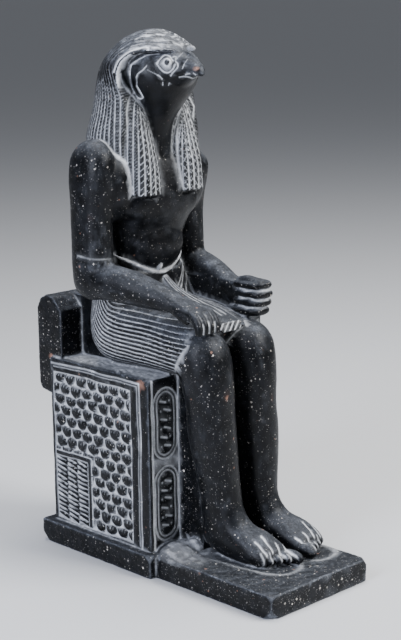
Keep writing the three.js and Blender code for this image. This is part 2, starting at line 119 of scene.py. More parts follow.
def rope(path, radii, kind, steps=6, sides=16):
    # a round section of the given radius carried along a smooth path
    rows = fair(np.column_stack([np.array(path, float), np.broadcast_to(radii, len(path))]), steps)
    way = np.gradient(rows[:, :3], axis=0)
    way /= np.linalg.norm(way, axis=1)[:, None]
    side = np.cross(way, (0.13, 0.21, 0.97))
    side /= np.linalg.norm(side, axis=1)[:, None]
    up = np.cross(side, way)
    angle = np.linspace(0, 2 * np.pi, sides + 1)[None, :, None]
    ring = np.cos(angle) * up[:, None] + np.sin(angle) * side[:, None]
    return skin(rows[:, None, :3] + ring * rows[:, 3][:, None, None], kind)


def slab(outline, low, high, kind, axis):
    # a flat outline pushed from low to high along one axis; the outline is in the two other ones
    flat = np.array(outline, float)
    others = [k for k in range(3) if k != axis]
    points = np.zeros((2 * len(flat), 3))
    points[:len(flat), axis], points[len(flat):, axis] = low, high
    points[:len(flat), others] = points[len(flat):, others] = flat
    lid = np.array(tessellate_polygon([[Vector((a, b, 0)) for a, b in flat]]))
    n = len(flat)
    i = np.arange(n)
    j = (i + 1) % n
    tris = np.vstack([lid, lid[:, ::-1] + n, np.stack([i, j, j + n], 1), np.stack([i, j + n, i + n], 1)])
    values = np.zeros((len(points), 3))
    values[:, 0] = kinds[kind]
    return points, outward(points, tris), values


def cube(x0, x1, y0, y1, z0, z1, kind):
    # a box between two limits on each axis
    return slab([(y0, z0), (y1, z0), (y1, z1), (y0, z1)], x0, x1, kind, 0)


# From arrays to Blender and back

def toObject(name, parts):
    # the parts as one mesh in metres, with each point's kind and its place on its part as attributes
    start = np.cumsum([0] + [len(p[0]) for p in parts])
    points = np.vstack([p[0] for p in parts])
    tris = np.vstack([p[1] + start[k] for k, p in enumerate(parts)]).astype(np.int32)
    values = np.vstack([p[2] for p in parts]).astype(np.float32)
    mesh = bpy.data.meshes.new(name)
    mesh.vertices.add(len(points))
    mesh.vertices.foreach_set("co", (points * 0.001).astype(np.float32).ravel())
    mesh.loops.add(tris.size)
    mesh.loops.foreach_set("vertex_index", tris.ravel())
    mesh.polygons.add(len(tris))
    mesh.polygons.foreach_set("loop_start", np.arange(0, tris.size, 3, dtype=np.int32))
    mesh.update(calc_edges=True)
    for k, key in enumerate(("kind", "across", "along")):
        mesh.attributes.new(key, "FLOAT", "POINT").data.foreach_set("value", values[:, k])
    obj = bpy.data.objects.new(name, mesh)
    scene.collection.objects.link(obj)
    return obj


def toArrays(mesh):
    # the points in millimetres, the triangles, and the three attributes as columns
    mesh.calc_loop_triangles()
    points = np.empty(len(mesh.vertices) * 3, np.float32)
    mesh.vertices.foreach_get("co", points)
    tris = np.empty(len(mesh.loop_triangles) * 3, np.int32)
    mesh.loop_triangles.foreach_get("vertices", tris)
    values = np.zeros((len(mesh.vertices), 3), np.float32)
    for k, key in enumerate(("kind", "across", "along")):
        if key in mesh.attributes:
            column = np.empty(len(mesh.vertices), np.float32)
            mesh.attributes[key].data.foreach_get("value", column)
            values[:, k] = column
    return points.reshape(-1, 3).astype(float) * 1000, tris.reshape(-1, 3), values


def applied(obj, kind, **settings):
    # the object's mesh once one modifier has worked on it
    modifier = obj.modifiers.new(kind, kind)
    for key, value in settings.items():
        setattr(modifier, key, value)
    view = bpy.context.evaluated_depsgraph_get()
    view.update()
    worked = obj.evaluated_get(view)
    mesh = bpy.data.meshes.new_from_object(worked, preserve_all_data_layers=True, depsgraph=view)
    obj.modifiers.clear()
    old = obj.data
    obj.data = mesh
    bpy.data.meshes.remove(old)
    return obj


def discard(obj):
    # remove an object with its mesh
    mesh = obj.data
    bpy.data.objects.remove(obj)
    bpy.data.meshes.remove(mesh)


def carvedAway(part, tool, kind):
    # the part less the tool
    whole, knife = toObject("whole", [part]), toObject("knife", [tool])
    bpy.context.view_layer.update()
    applied(whole, "WELD", merge_threshold=0.00001)
    applied(whole, "BOOLEAN", operation="DIFFERENCE", object=knife, solver="EXACT")
    points, tris, values = toArrays(whole.data)
    values[:, 0] = kinds[kind]
    discard(whole)
    discard(knife)
    return points, tris, values


def oneSkin(obj, voxel):
    # one closed skin round everything in the object, which keeps each point's kind
    obj.data.remesh_voxel_size = voxel * 0.001
    obj.data.remesh_voxel_adaptivity = 0
    obj.data.use_remesh_preserve_attributes = True
    obj.data.use_remesh_preserve_volume = False
    obj.data.use_remesh_fix_poles = False
    bpy.context.view_layer.objects.active = obj
    obj.select_set(True)
    bpy.ops.object.voxel_remesh()
    obj.select_set(False)


def softened(parts, voxel, rounds):
    # the parts in one skin, with the joins between them rounded into fillets
    obj = toObject("soft", parts)
    oneSkin(obj, voxel)
    applied(obj, "SMOOTH", factor=0.5, iterations=rounds)
    result = toArrays(obj.data)
    discard(obj)
    return result


# The rounded limbs

def mirrored(stations):
    # the same stations on the figure's other side, with x negated
    return [[-s[0]] + s[1:] for s in stations]


limbs = {
    "trunk": [[0, 40, 150, 26, 17, 17, 2.4], [0, 40, 166, 23.5, 15.5, 16, 2.3],
              [0, 40, 178, 23, 16, 17, 2.3], [0, 39, 190, 25.5, 18, 19, 2.4],
              [0, 38, 200, 29, 20, 22, 2.4], [0, 38, 214, 33, 20.5, 22.5, 2.4],
              [0, 39, 230, 36, 17, 19, 2.5], [0, 39, 240, 26, 13, 13, 2.3]],
    "rightUpper": [[-40, 36, 153.5, 5, 7, 7, 2], [-40, 37, 158, 8, 11.5, 11.5, 2.1],
                   [-39.5, 38, 168, 9.5, 13.2, 13.2, 2.2], [-39.5, 38, 200, 9.5, 13.2, 13.2, 2.2],
                   [-39, 37, 220, 10.3, 15, 14.5, 2.2], [-38.5, 37, 232, 9.8, 13.5, 13.5, 2.2],
                   [-37.5, 37, 239, 6.5, 8.5, 8.5, 2], [-37, 37, 241.5, 2, 3, 3, 2]],
    "leftUpper": [[35, 38, 156, 5, 7, 7, 2], [35, 39, 162, 8, 12, 12, 2.1],
                  [34, 40.5, 178, 8.5, 12.6, 12.6, 2.2], [34, 40.5, 200, 8.6, 12.6, 12.6, 2.2],
                  [35.2, 38.5, 221, 9.3, 14.5, 13.6, 2.2], [34.6, 39, 228, 8, 12.4, 10.6, 2.1],
                  [32.5, 40, 234, 5, 8, 6.4, 2], [31, 40, 237, 1.5, 2.5, 2.5, 2]],
    "rightFore": [[-39, 40, 163, 8.6, 9, 9, 2.1, 90], [-38.5, 27, 164, 9.6, 9.6, 10.5, 2.1, 90],
                  [-34, 9, 162, 9, 8.8, 10, 2.1, 90], [-28.5, -7, 158, 7.6, 6.4, 7.5, 2.2, 90],
                  [-24.5, -17, 154.5, 7.4, 4.6, 5.2, 2.4, 90], [-21.8, -26, 150.5, 8.6, 4.2, 4.2, 2.6, 90],
                  [-21.2, -31, 148, 8.2, 3.4, 3.4, 2.6, 90]],
    "leftFore": [[34.5, 42, 164, 8.6, 8, 8, 2.1, 90], [34.2, 28, 164, 8.8, 8.2, 9.5, 2.1, 90],
                 [32, 12, 160, 8.6, 7.8, 9.4, 2.1, 90], [29, -3, 155.5, 7.2, 6.4, 7.6, 2.1, 90],
                 [27.5, -12, 153, 6, 6.4, 7, 2.2, 90], [27.2, -16, 152.6, 7, 8, 8, 2.4, 90]],
    "neck": [[0, 32, 222, 9.8, 14, 11.4, 2.2], [0, 31, 234, 9.8, 14, 11.5, 2.2],
             [0, 30, 244, 9.8, 14, 11.2, 2.1], [0, 27, 254, 10, 15, 11.5, 2.1],
             [0, 22, 264, 12, 15, 13, 2], [0, 18, 274, 14, 14.5, 15, 2]],
    "leg": [[-16.5, 0, 127, 13.5, 13, 13, 2.2, 90], [-16.5, -15, 126.5, 14.4, 13.6, 13.4, 2.2, 92],
            [-16.2, -24, 123, 14.8, 17.6, 16, 2.1, 128], [-15.8, -28, 110, 13, 14.6, 15, 2.2, 172],
            [-15.3, -29.5, 96, 11.9, 13.2, 14.5, 2.3, 180], [-14.3, -30, 80, 12, 13, 14.5, 2.3, 180],
            [-12, -30.5, 62, 10.8, 12.2, 12.8, 2.3, 180], [-10, -31, 48, 10, 12, 12.2, 2.3, 175],
            [-9.2, -32, 38, 9.8, 12.2, 13.6, 2.3, 162], [-8.6, -34.5, 28, 10, 14.6, 16.5, 2.3, 140],
            [-7.6, -43, 22.5, 10.8, 12, 11, 2.3, 115], [-5.8, -54, 20, 12, 9.8, 8, 2.4, 97],
            [-4.4, -62, 18.6, 11.8, 7, 6, 2.3, 90], [-4.2, -67, 17.4, 10, 4.2, 4, 2.2, 90]],
    "leftLegX": [17.5, 18, 18.6, 18, 17.6, 18.8, 19.4, 19, 19.2, 20, 21.4, 23.6, 25, 25.5],
    "kilt": [[0, 40, 171, 25, 17.6, 17.6, 2.3, 200], [0, 41.3, 152, 30.5, 20.8, 20.8, 2.5, 178],
             [0, 39.5, 134, 33, 25.5, 25.5, 2.6, 135], [0, 22, 131.6, 33, 20.4, 20.4, 2.7, 90],
             [0, 2, 130.3, 32.2, 18.8, 18.8, 2.7, 92], [0, -20.5, 126.3, 31.6, 16, 16.4, 2.6, 122]],
}
leftLeg = [[x] + s[1:] for x, s in zip(limbs["leftLegX"], limbs["leg"])]
figure = softened([
    loft(limbs["trunk"], "body"), loft(limbs["neck"], "body"),
    loft(limbs["rightUpper"], "arm"), loft(limbs["leftUpper"], "arm"),
    loft(limbs["rightFore"], "arm"), loft(limbs["leftFore"], "arm"),
    loft(limbs["leg"], "leg"), loft(leftLeg, "leg"),
    cube(-37, -20, 38, 50, 158, 228, "body"), cube(20, 37, 38, 50, 158, 228, "body"),
    cube(23, 35, -12, 40, 128, 160, "arm"),  # the stone left under the left forearm
    ball((-28, 33, 216), (14, 13.5, 21), "body"), ball((27, 34, 216), (12, 13, 21), "body"),
    ball((-14, 24, 203), (14, 6.5, 9), "body", (12, 0, 0)),  # chest
    ball((14, 24, 203), (13, 6, 9), "body", (12, 0, 0)),
    ball((0, 27, 181), (18, 8.5, 15), "body"),  # belly
], block["roughVoxel"], block["softening"])
print("limbs softened together:", len(figure[0]), "points")

# The crisper forms

wig = {
    "cap": [[0, 36, 224, 29.5, 28, 22, 2.4], [0, 36, 240, 33, 31.5, 25.5, 2.15],
            [0, 34, 256, 29.5, 30.5, 24, 2.15], [0, 31, 275, 26, 30.6, 26, 2.2],
            [0, 27, 284, 23.8, 30.6, 25.6, 2.2], [0, 26, 290, 19.4, 27, 21.4, 2.05],
            [0, 26, 295.5, 13.5, 19.5, 14.4, 2], [0, 27, 298.8, 7, 9.5, 8, 2],
            [0, 28, 300, 1.5, 2, 2, 2]],
    "opening": [[-40, 220], [24, 220], [23, 246], [22.5, 256], [24.5, 264.5], [28.5, 271],
                [30, 277], [28, 282.5], [23, 286.5], [16, 288.5], [-40, 288.5]],
    "lappet": [[16, 22.5, 210.4, 8.7, 10.8, 10.8, 3.4], [16.2, 26.2, 225, 10, 13, 14, 2.6],
               [16.6, 29.4, 240, 10.4, 14, 14, 2.3], [17.3, 32.6, 256, 7.2, 12, 12.6, 2.3],
               [19.2, 35, 264, 5.6, 10, 10.6, 2.3], [21.4, 37, 278, 3.8, 7, 7.4, 2.3],
               [20.6, 36, 284, 3, 6, 7, 2.3]],
    # its level section from the lappet's inner edge round to the middle of the back, |x| and y
    "section": [(6.5, 24), (7, 17), (11, 13), (17, 12.6), (23.5, 16), (28.5, 24), (32.5, 32), (32.5, 42),
                (28.5, 54.5), (19, 64), (9, 67), (0, 67.5)],
    # the edge round the face, from the forehead down to the lappet
    "edge": [(3, -2, 292), (13, 3, 289.5), (20, 14, 288.6), (23.5, 23, 286.5), (24.5, 28, 282.5),
             (25, 30, 277), (26, 28.5, 271), (27.5, 24.5, 264.5), (29, 22.5, 256)],
    # the stone left between the cheeks and the wig
    "behindFace": [[0, 36, 236, 20, 4, 10, 6], [0, 36, 246, 21.5, 4, 10, 6],
                   [0, 36, 256, 21.5, 4, 11, 6], [0, 36, 264.5, 22, 4, 9.6, 6],
                   [0, 36, 271, 23, 4, 6.4, 6], [0, 36, 277, 23.2, 4, 4.6, 6],
                   [0, 36, 283, 21.6, 4, 5.4, 6]],
    # the line along the inside of a lappet, from the temple down
    "inner": [(24.2, 29.5, 276), (22.6, 26.8, 270), (18.6, 24, 264), (13.8, 22, 257), (8.8, 19.5, 240),
              (7.4, 17, 225), (8, 14, 211)],
    "lock": 3.3,  # mm between two locks' lines
    "lockLine": (0.3, 0.55),  # mm, its width and depth
    "rim": 2.4,  # mm, plain band over the brow
    # the strokes across a lock: slope, mm from one to the next, where, chalk
    "strokes": ((0.75, 3.5, "right", 1), (0.75, 4.1, "left", 1), (-0.75, 4.1, "left", 0.8),
                (0.6, 1.9, "rear", 0.38)),
    "strokeLine": (0.2, 0.22),
    # how far out the white band beside the cheek lies at each height
    "bandHeights": [250, 256, 264, 270, 277, 283, 288], "bandX": [29, 28.4, 27.4, 26.2, 25.2, 23.6, 20],
}
cap = loft(wig["cap"], "wig", 96, 10)
opening = slab(wig["opening"], -40, 40, "wig", 0)
head = {
    "beak": [[0, 34, 276, 16.5, 12.5, 12.5, 2.3, 90], [0, 16, 277.5, 16.6, 12, 12, 2.3, 90],
             [0, 8.5, 278, 15.2, 10.9, 11.3, 2.2, 90], [0, 4, 278.8, 11.8, 9.7, 10.4, 2.1, 90],
             [0, -0.5, 279.4, 8.2, 7.7, 8.2, 2, 90], [0, -4.6, 279.4, 5.4, 5.3, 5, 2, 90],
             [0, -8, 278.5, 3.9, 3.6, 3.6, 2, 90], [0, -10.4, 277.4, 2.4, 2.4, 2.6, 2, 90],
             [0, -11.6, 276.2, 1, 1.3, 1.6, 2, 90]],
    "cheeks": [[0, 22, 287, 16, 13, 13, 2.2], [0, 21, 281, 20, 14, 15.5, 2.2],
               [0, 20, 273, 20, 14, 17.6, 2.1], [0, 21.5, 266.5, 17.4, 14, 17, 2],
               [0, 24, 260, 14.2, 14, 15, 2], [0, 28, 252, 11, 14, 12.8, 2],
               [0, 30, 244, 10, 14, 11.4, 2.1], [0, 31, 234, 9.6, 14, 11.2, 2.2],
               [0, 32, 222, 9.4, 14, 11, 2.2]],
    "eye": (12.1, 4.1, 282.5), "ring": 1.95, "socket": 3.2, "pupil": 1.3,
    "farBack": 3.6,  # mm, the eye on the far side lies that much further back
}
face = softened([loft(head["beak"], "face", 72, 10), loft(head["cheeks"], "face")], 0.6, 7)
behind = loft(wig["behindFace"], "gap", 48, 6)
fineParts = [figure, face, behind, loft(limbs["kilt"], "kilt", 360, 24), carvedAway(cap, opening, "wig"),
             loft(wig["lappet"], "wig"), loft(mirrored(wig["lappet"]), "wig"),
             ball((0, -2.2, 289.6), (1.7, 3.2, 1.6), "wig")]
for side, back in ((-1, 0), (1, head["farBack"])):
    x, y, z = head["eye"]
    fineParts.append(ball((side * (x - 0.9 + 0.4 * back), y + 0.4 + back, z), (2.3, 2.6, 2.5), "eye"))

hands = {"fingers": 4, "fingerPitch": 4.3, "fistPitch": 4.9, "toes": 5, "toePitch": 4.7,
         "footX": (-4, 25.5), "toeTurn": 2.2}  # mm, each toe lies that much further back
for i in range(hands["fingers"]):
    x = -27.6 + hands["fingerPitch"] * i
    fineParts.append(loft([
        [x, -19, 152.4, 2.1, 2.6, 2.6, 2.2, 90], [x, -24, 151.4, 2.2, 2.8, 2.8, 2.3, 92],
        [x, -29.5, 149.6, 2.3, 2.8, 2.8, 2.3, 112], [x - 0.3, -33.4, 145, 2.2, 2.5, 2.5, 2.3, 152],
        [x - 0.6, -34.2, 140.6, 1.8, 2, 2, 2.1, 180]], "finger", 24))
    x, y, z = 27.2 - 0.5 * (i == 3), (0, -0.9, 0, 1.4)[i], 159.4 - hands["fistPitch"] * i
    fineParts.append(loft([[x, -12 + y, z, 7, 2.6, 2.6, 2.6, 90], [x, -21 + y, z, 7.8, 2.9, 2.9, 2.6, 90],
                           [x, -27 + y, z, 7.2, 2.8, 2.8, 2.5, 90], [x, -30 + y, z, 5.6, 2.3, 2.3, 2.3, 90],
                           [x, -31.4 + y, z, 3.4, 1.4, 1.4, 2, 90]], "finger", 36))
fineParts.append(loft([[25.5, -12, 160.5, 3, 2.4, 2.4, 2, 90], [25, -20, 161.8, 3.4, 2.6, 2.6, 2, 90],
                       [25.5, -30, 160.6, 3, 2.2, 2.2, 2, 90]], "finger", 24))
fineParts.append(loft([[-29, -10, 155, 2.6, 2.6, 2.6, 2, 90], [-29, -18, 151.4, 2.6, 2.8, 2.8, 2, 100],
                       [-28.4, -26, 147.4, 2.2, 2.4, 2.4, 2, 105]], "finger", 24))
for side, foot in zip((-1, 1), hands["footX"]):
    for i in range(hands["toes"]):
        reach = (3.4, 8, 3.9) if i == 0 else (2.5, 6.6 - 0.3 * i, 3.3 - 0.12 * i)
        x = foot - side * (9.4 - hands["toePitch"] * i)
        fineParts.append(ball((x, -70 + hands["toeTurn"] * i, 17), reach, "toe"))
fineParts += [
    cube(20, 30, -24, -6, 134, 146, "tie"),
    loft([[1.5, 26.5, 161, 2.4, 4, 4, 3, 90], [1, 14, 153.4, 3.6, 3.6, 4, 3.4, 90],
          [0, 0, 148.8, 5.4, 3.4, 4, 4, 90], [-0.5, -18, 144.8, 7.4, 3.4, 4, 4, 90],
          [-1, -31.5, 141, 8.4, 2.8, 2.8, 4, 90]], "tab", 64, 12),
    rope([(-26, 43, 178), (-23.6, 34, 174.6), (-18, 27.4, 171), (-10, 24.4, 166.9), (0, 23.4, 164.6),
          (9, 24.6, 167.4), (17, 27.6, 171.6), (23.4, 34, 176), (25.6, 43, 179)], 0.75, "tab"),
    ball((-3, 22.8, 169.4), (1.7, 1.6, 3.3), "tab", (0, 8, 0)),
]

seat = {"halfThrone": 38, "front": -3.2, "rear": 81.2, "low": 11, "top": 112.4,
        "plinthTop": 13.4, "rearHalf": 43, "frontHalf": 38.5, "toeEnd": -95.5, "rearEnd": 87.7,
        "stepAt": -7.4, "halfBack": 36,
        # the backrest's section, y and z
        "back": [(72.7, 88.4), (92.2, 91), (94.2, 94), (94.2, 140.4), (91.4, 145.6), (86.2, 148.4),
                 (79.1, 147.4), (72.7, 140.4)]}
rearHalf, frontHalf, plinthTop = seat["rearHalf"], seat["frontHalf"], seat["plinthTop"]
toeEnd, rearEnd, stepAt, halfThrone = seat["toeEnd"], seat["rearEnd"], seat["stepAt"], seat["halfThrone"]
fineParts += [
    slab([(-rearHalf, rearEnd), (-rearHalf, stepAt), (-frontHalf, stepAt), (-frontHalf, toeEnd),
          (frontHalf, toeEnd), (frontHalf, stepAt), (rearHalf, stepAt), (rearHalf, rearEnd)],
         0, plinthTop, "plinth", 2),
    cube(-halfThrone, halfThrone, seat["front"], seat["rear"], seat["low"], seat["top"], "throne"),
    slab(seat["back"], -seat["halfBack"], seat["halfBack"], "backrest", 0),
    # the stone left behind the legs and behind the figure, and the rough mounds on the plinth
    cube(-15.5, 15.5, -22, -1.2, 11, 114.4, "tie"), cube(-20, 20, 40, 83.2, 110.4, 148, "tie"),
    ball((-17, -16, 12), (7, 6, 8), "plinth"), ball((-25, -12, 12), (13, 12, 6.4), "plinth"),
    ball((17, -10, 12), (8, 8, 6), "plinth"),
]
carved = toObject("seated_falcon_figure_carved", fineParts)
oneSkin(carved, block["voxel"])
applied(carved, "SMOOTH", factor=0.5, iterations=block["polish"])
print("block in one skin:", len(carved.data.vertices), "points")


# Carving

def ripple(p, size, seed):
    # a smooth unevenness from -1 to 1: the mean of plane waves about one size long
    rng = np.random.default_rng(seed)
    total = np.zeros(len(p))
    for _ in range(7):
        way = rng.normal(size=3)
        way *= 2 * np.pi / size / np.linalg.norm(way) * rng.uniform(0.7, 1.4)
        total += np.sin(p @ way + rng.uniform(0, 6.3))
    return total / 3.5


def smooth(v, low, high):
    # 0 up to low, 1 from high on, and t * t * (3 - 2 t) at the share t of the way between
    t = np.clip((v - low) / (high - low), 0, 1)
    return t * t * (3 - 2 * t)


def lineDistance(p, path):
    # least distance from each point to a line through the path's points
    path = np.array(path, float)
    best = np.full(len(p), 1e3)
    for a, b in zip(path[:-1], path[1:]):
        t = np.clip((p - a) @ (b - a) / ((b - a) @ (b - a)), 0, 1)
        best = np.minimum(best, np.linalg.norm(p - a - t[:, None] * (b - a), axis=1))
    return best


def cut(distance, width):
    # a groove's profile: e to minus the square of distance over width, 1 in its middle
    return np.exp(-(distance / width) ** 2)


mesh = carved.data
count = len(mesh.vertices)
p, tris, values = toArrays(mesh)  # p holds each point's x, y and z in mm
normal = np.empty(count * 3, np.float32)
mesh.vertex_normals.foreach_get("vector", normal)
normal = normal.reshape(-1, 3).astype(float)
kind = np.round(values[:, 0]).astype(int)
edges = np.empty(len(mesh.edges) * 2, np.int32)
mesh.edges.foreach_get("vertices", edges)
edges = edges.reshape(-1, 2)


def among(*names):
    # which points are of the named kinds
    return np.isin(kind, [kinds[name] for name in names])


def neighbourMean(v, rounds):
    # in each round a value becomes the mean of itself and of its neighbours' mean
    i, j = edges.T
    near = (np.bincount(i, minlength=count) + np.bincount(j, minlength=count))[:, None]
    for _ in range(rounds):
        total = np.stack([np.bincount(i, c[j], count) + np.bincount(j, c[i], count) for c in v.T], 1)
        v = np.where(near > 0, (v + total / np.maximum(near, 1)) / 2, v)
    return v


depth = np.zeros(count)
chalkAndHighlight = np.zeros(count)
dustAndHighlight = np.zeros(count)


def press(where, amount):
    # the stone is cut at least the amount deep there
    depth[where] = np.maximum(depth[where], amount)


def whiten(where, amount):
    # at least the amount of chalk lies there
    chalkAndHighlight[where] = np.maximum(chalkAndHighlight[where], amount)


def engrave(where, distance, width, deep, white):
    # press a line in and fill it with chalk
    profile = cut(distance, width)
    press(where, deep * profile)
    whiten(where, white * np.minimum(1, 1.35 * profile))


def grain(p, small, large, seed):
    # irregular spots between 0 and 1: two ripples of unlike size multiplied
    return smooth(ripple(p, small, seed) * ripple(p, large, seed + 1), -0.1, 0.55)


def alongPath(p, path):
    # how far along a path its nearest point to each p lies
    path = np.array(path, float)
    best, where, gone = np.full(len(p), 1e3), np.zeros(len(p)), 0.0
    for a, b in zip(path[:-1], path[1:]):
        length = np.linalg.norm(b - a)
        t = np.clip((p - a) @ (b - a) / length ** 2, 0, 1)
        away = np.linalg.norm(p - a - t[:, None] * (b - a), axis=1)
        where = np.where(away < best, gone + t * length, where)
        best = np.minimum(best, away)
        gone += length
    return where


# wig: below the chin a lock keeps its place along the wig's level section, over the crown its
# distance from the edge round the face
where = np.nonzero(among("wig"))[0]
q = p[where]  # both halves of the wig laid on the half where x is positive
q[:, 0] = np.abs(q[:, 0])
section = fair(wig["section"], 6)
level = alongPath(q[:, :2], section)
edgeWay = lineDistance(q, wig["edge"])
over = smooth(q[:, 2], 260, 284)
way = level * (1 - over) + (30 + 1.25 * edgeWay) * over
way += 0.35 * ripple(p[where], 30, 11) + 0.7 * over * ripple(p[where], 13, 12)
lock = np.round(way / wig["lock"])
sideWay = way - lock * wig["lock"]
rimWay = lineDistance(q[:, 1:], wig["opening"][1:-1])
brow = (q[:, 2] > 279) & (q[:, 1] < 27) & (rimWay < wig["rim"])
wall = (normal[where, 1] < -0.5) & (q[:, 1] < 32) & (q[:, 1] > 20) & (q[:, 2] > 269) & (q[:, 2] < 287)
under = normal[where, 2] < -0.6
nub = (q[:, 0] < 2.8) & (q[:, 1] < 1.5) & (q[:, 2] > 286.5)
chalkAndHighlight[where[nub]] = 0.35
locks = ~brow & ~wall & ~under & ~nub
shown = 1 - 0.75 * over * (1 - grain(p[where], 6, 14, 13))
shown *= 0.7 + 0.3 * grain(p[where], 4, 17, 14)
shown *= 1 - 0.5 * smooth(q[:, 2], 254, 272) * (1 - smooth(q[:, 2], 282, 288))
engrave(where[locks], sideWay[locks], *wig["lockLine"], shown[locks])
left = p[where, 0] > 0
forward = level < 26
places = {"right": forward & ~left, "left": forward & left, "rear": ~forward}
for slope, pitch, place, white in wig["strokes"]:
    tick = (q[:, 2] + slope * (sideWay + lock % 2) + 0.5 * ripple(p[where], 12, 5)) / pitch
    tick = (tick - np.round(tick)) * pitch * 0.8
    chosen = places[place] & locks & (q[:, 2] < 272 + 4 * ripple(p[where], 9, 6))
    fading = white * (0.45 + 0.55 * grain(p[where], 5, 8, 7))
    engrave(where[chosen], tick[chosen], *wig["strokeLine"], fading[chosen])
engrave(where[~under], np.where(q[:, 2] > 277, rimWay - wig["rim"], 9)[~under], 0.5, 0.4, 1)
rimX = np.interp(q[:, 2], wig["bandHeights"], wig["bandX"])
band = smooth(q[:, 0] - rimX, -2.4, -1.5) * smooth(q[:, 2], 266, 272)
chalkAndHighlight[where[wall]] = 0.95 * band[wall]
front = locks & (q[:, 1] < 26) & (q[:, 2] > 283)
streaks = np.stack([edgeWay, 0.14 * alongPath(q, wig["edge"]), 0 * edgeWay], 1)[front]
whiten(where[front], 0.8 * grain(streaks, 1.3, 4, 15))
engrave(where, lineDistance(q, wig["inner"]), 0.6, 0.3, 0.9)

# kilt: pleats are nested curves. Each runs at one share of the way from a point in the lap out to
# the cloth's side outline, so they lie close together behind and spread towards the knee.
pleats = {"lap": (27, 171), "lines": 25, "width": 0.29, "depth": 0.6, "first": 0.3, "last": 0.94,
          "outline": [(60, 171), (62, 152), (61, 138), (56, 124), (46, 114.5), (34, 111.4), (20, 110.6),
                      (3, 110), (-15, 109), (-40, 107), (-80, 104)]}
outline = fair(pleats["outline"], 8) - pleats["lap"]
turnTo = np.arctan2(-outline[:, 0], -outline[:, 1])
reach = np.hypot(*outline.T)
onKilt = among("kilt") & (np.abs(values[:, 1] - 0.5) < 0.47)
where = np.nonzero(onKilt & (np.abs(p[:, 0]) > 15))[0]
away = p[where, 1:] - pleats["lap"]
far = np.interp(np.arctan2(-away[:, 0], -away[:, 1]), turnTo, reach)
share = np.hypot(*away.T) / far + 0.006 * ripple(p[where], 26, 8)
step = share * pleats["lines"]
gap = (step - np.round(step)) * far / pleats["lines"] / np.clip(np.abs(normal[where, 0]), 0.4, 1)
shown = smooth(share, pleats["first"], pleats["first"] + 0.1) * (1 - smooth(share, pleats["last"], 0.97))
shown *= smooth(np.abs(p[where, 0]), 17, 21)
pleat = cut(gap, pleats["width"]) * shown
press(where, pleats["depth"] * pleat)
whiten(where, np.minimum(1, 1.5 * pleat) * (0.7 + 0.3 * grain(p[where], 5, 16, 9)))

# the sash: lines fanning from the knot, slanted strokes on its end, and folds of cloth beside it
sash = {"y": [-31.5, -18, 0, 14, 26], "x": [-1, -0.5, 0, 1, 1.5], "half": [8.4, 7.4, 5.4, 3.6, 2.4],
        # of each line: its share of the half width, and how far forward it starts
        "lines": ((-0.92, -16), (-0.5, -24), (-0.05, -24), (0.4, -24), (0.92, -30)),
        "lapLines": 7, "endStrokes": 5, "endPitch": 4,
        # folds from the belt down over the left hip, x and z
        "hipFolds": ([(24.5, 175), (21, 166), (16, 158), (10, 151)],
                     [(23.4, 171), (17, 162), (11, 156), (6, 151)],
                     [(25.6, 172), (24, 164), (20, 156), (15, 150)])}
where = np.nonzero(among("tab") & (p[:, 2] < 163))[0]
middle = np.interp(p[where, 1], sash["y"], sash["x"])
half = np.interp(p[where, 1], sash["y"], sash["half"])
for share, front in sash["lines"]:
    reached = p[where, 1] > front
    line = where[reached]
    away = (p[where, 0] - middle - share * half)[reached]
    engrave(line, away, 0.24, 0.3, 0.8 - 0.35 * smooth(p[line, 1], 0, 18))
lap = np.nonzero(among("kilt") & (normal[:, 2] > 0.3) & (np.abs(p[:, 0] - 12) < 12))[0]
for k in range(sash["lapLines"]):
    fan = [(3.4 + 2.6 * k, 26), (5.6 + 2.2 * k, 4), (8.6 + 1.2 * k, -27)]
    shown = 0.85 * smooth(p[lap, 1], -27, -10) * (p[lap, 1] < 22) * (0.45 + 0.55 * grain(p[lap], 5, 12, 22))
    engrave(lap, lineDistance(p[lap][:, :2], fan), 0.28, 0.3, shown)
streaks = np.stack([p[lap, 0] * 1.6, 0.12 * p[lap, 1], 0 * lap], 1)
dustAndHighlight[lap] = 0.6 * smooth(p[lap, 1], -24, -4) * grain(streaks, 2.2, 5, 23)
hip = np.nonzero(among("kilt") & (p[:, 0] > 4) & (p[:, 1] < 37) & (normal[:, 1] < -0.2))[0]
for fold in sash["hipFolds"]:
    stray = p[hip][:, [0, 2]] + 0.5 * ripple(p[hip], 8, 24)[:, None]
    engrave(hip, lineDistance(stray, fair(fold, 4)), 0.34, 0.4, 0.4 + 0.5 * grain(p[hip], 3, 7, 25))
end = where[(p[where, 1] < -25) & (normal[where, 1] < -0.55)]
for k in range(sash["endStrokes"]):
    stroke = [(-11 + sash["endPitch"] * k, 137.4), (-6.4 + sash["endPitch"] * k, 144.6)]
    engrave(end, lineDistance(p[end][:, [0, 2]], stroke), 0.42, 0.4, 1)

belt = np.nonzero(among("tab") & (p[:, 2] > 162))[0]
whiten(belt, 0.45 + 0.55 * grain(p[belt], 3, 9, 21))

# throne sides: hanging scales, and at the rear a door of slanted wedges
panel = {"field": (11.8, 78.5, 15, 104.4), "columns": 7, "rows": 14, "grout": 1, "boss": 1.1,
         "door": (46.8, 57.3), "doorBand": 3.3, "wedgeColumns": 3, "wedgeRows": 14,
         "bend": 0.3, "lineFront": 4, "lineTop": 109.6, "lineGap": 1.7,
         # of a scale: shares of its row's height, then its top's bulge and its strokes in mm
         "low": 0.56, "arch": 0.43, "waist": 0.44, "bulge": 0.9, "strokes": (-2.3, 0.1, 2.2),
         "strokeHalf": 1.3}


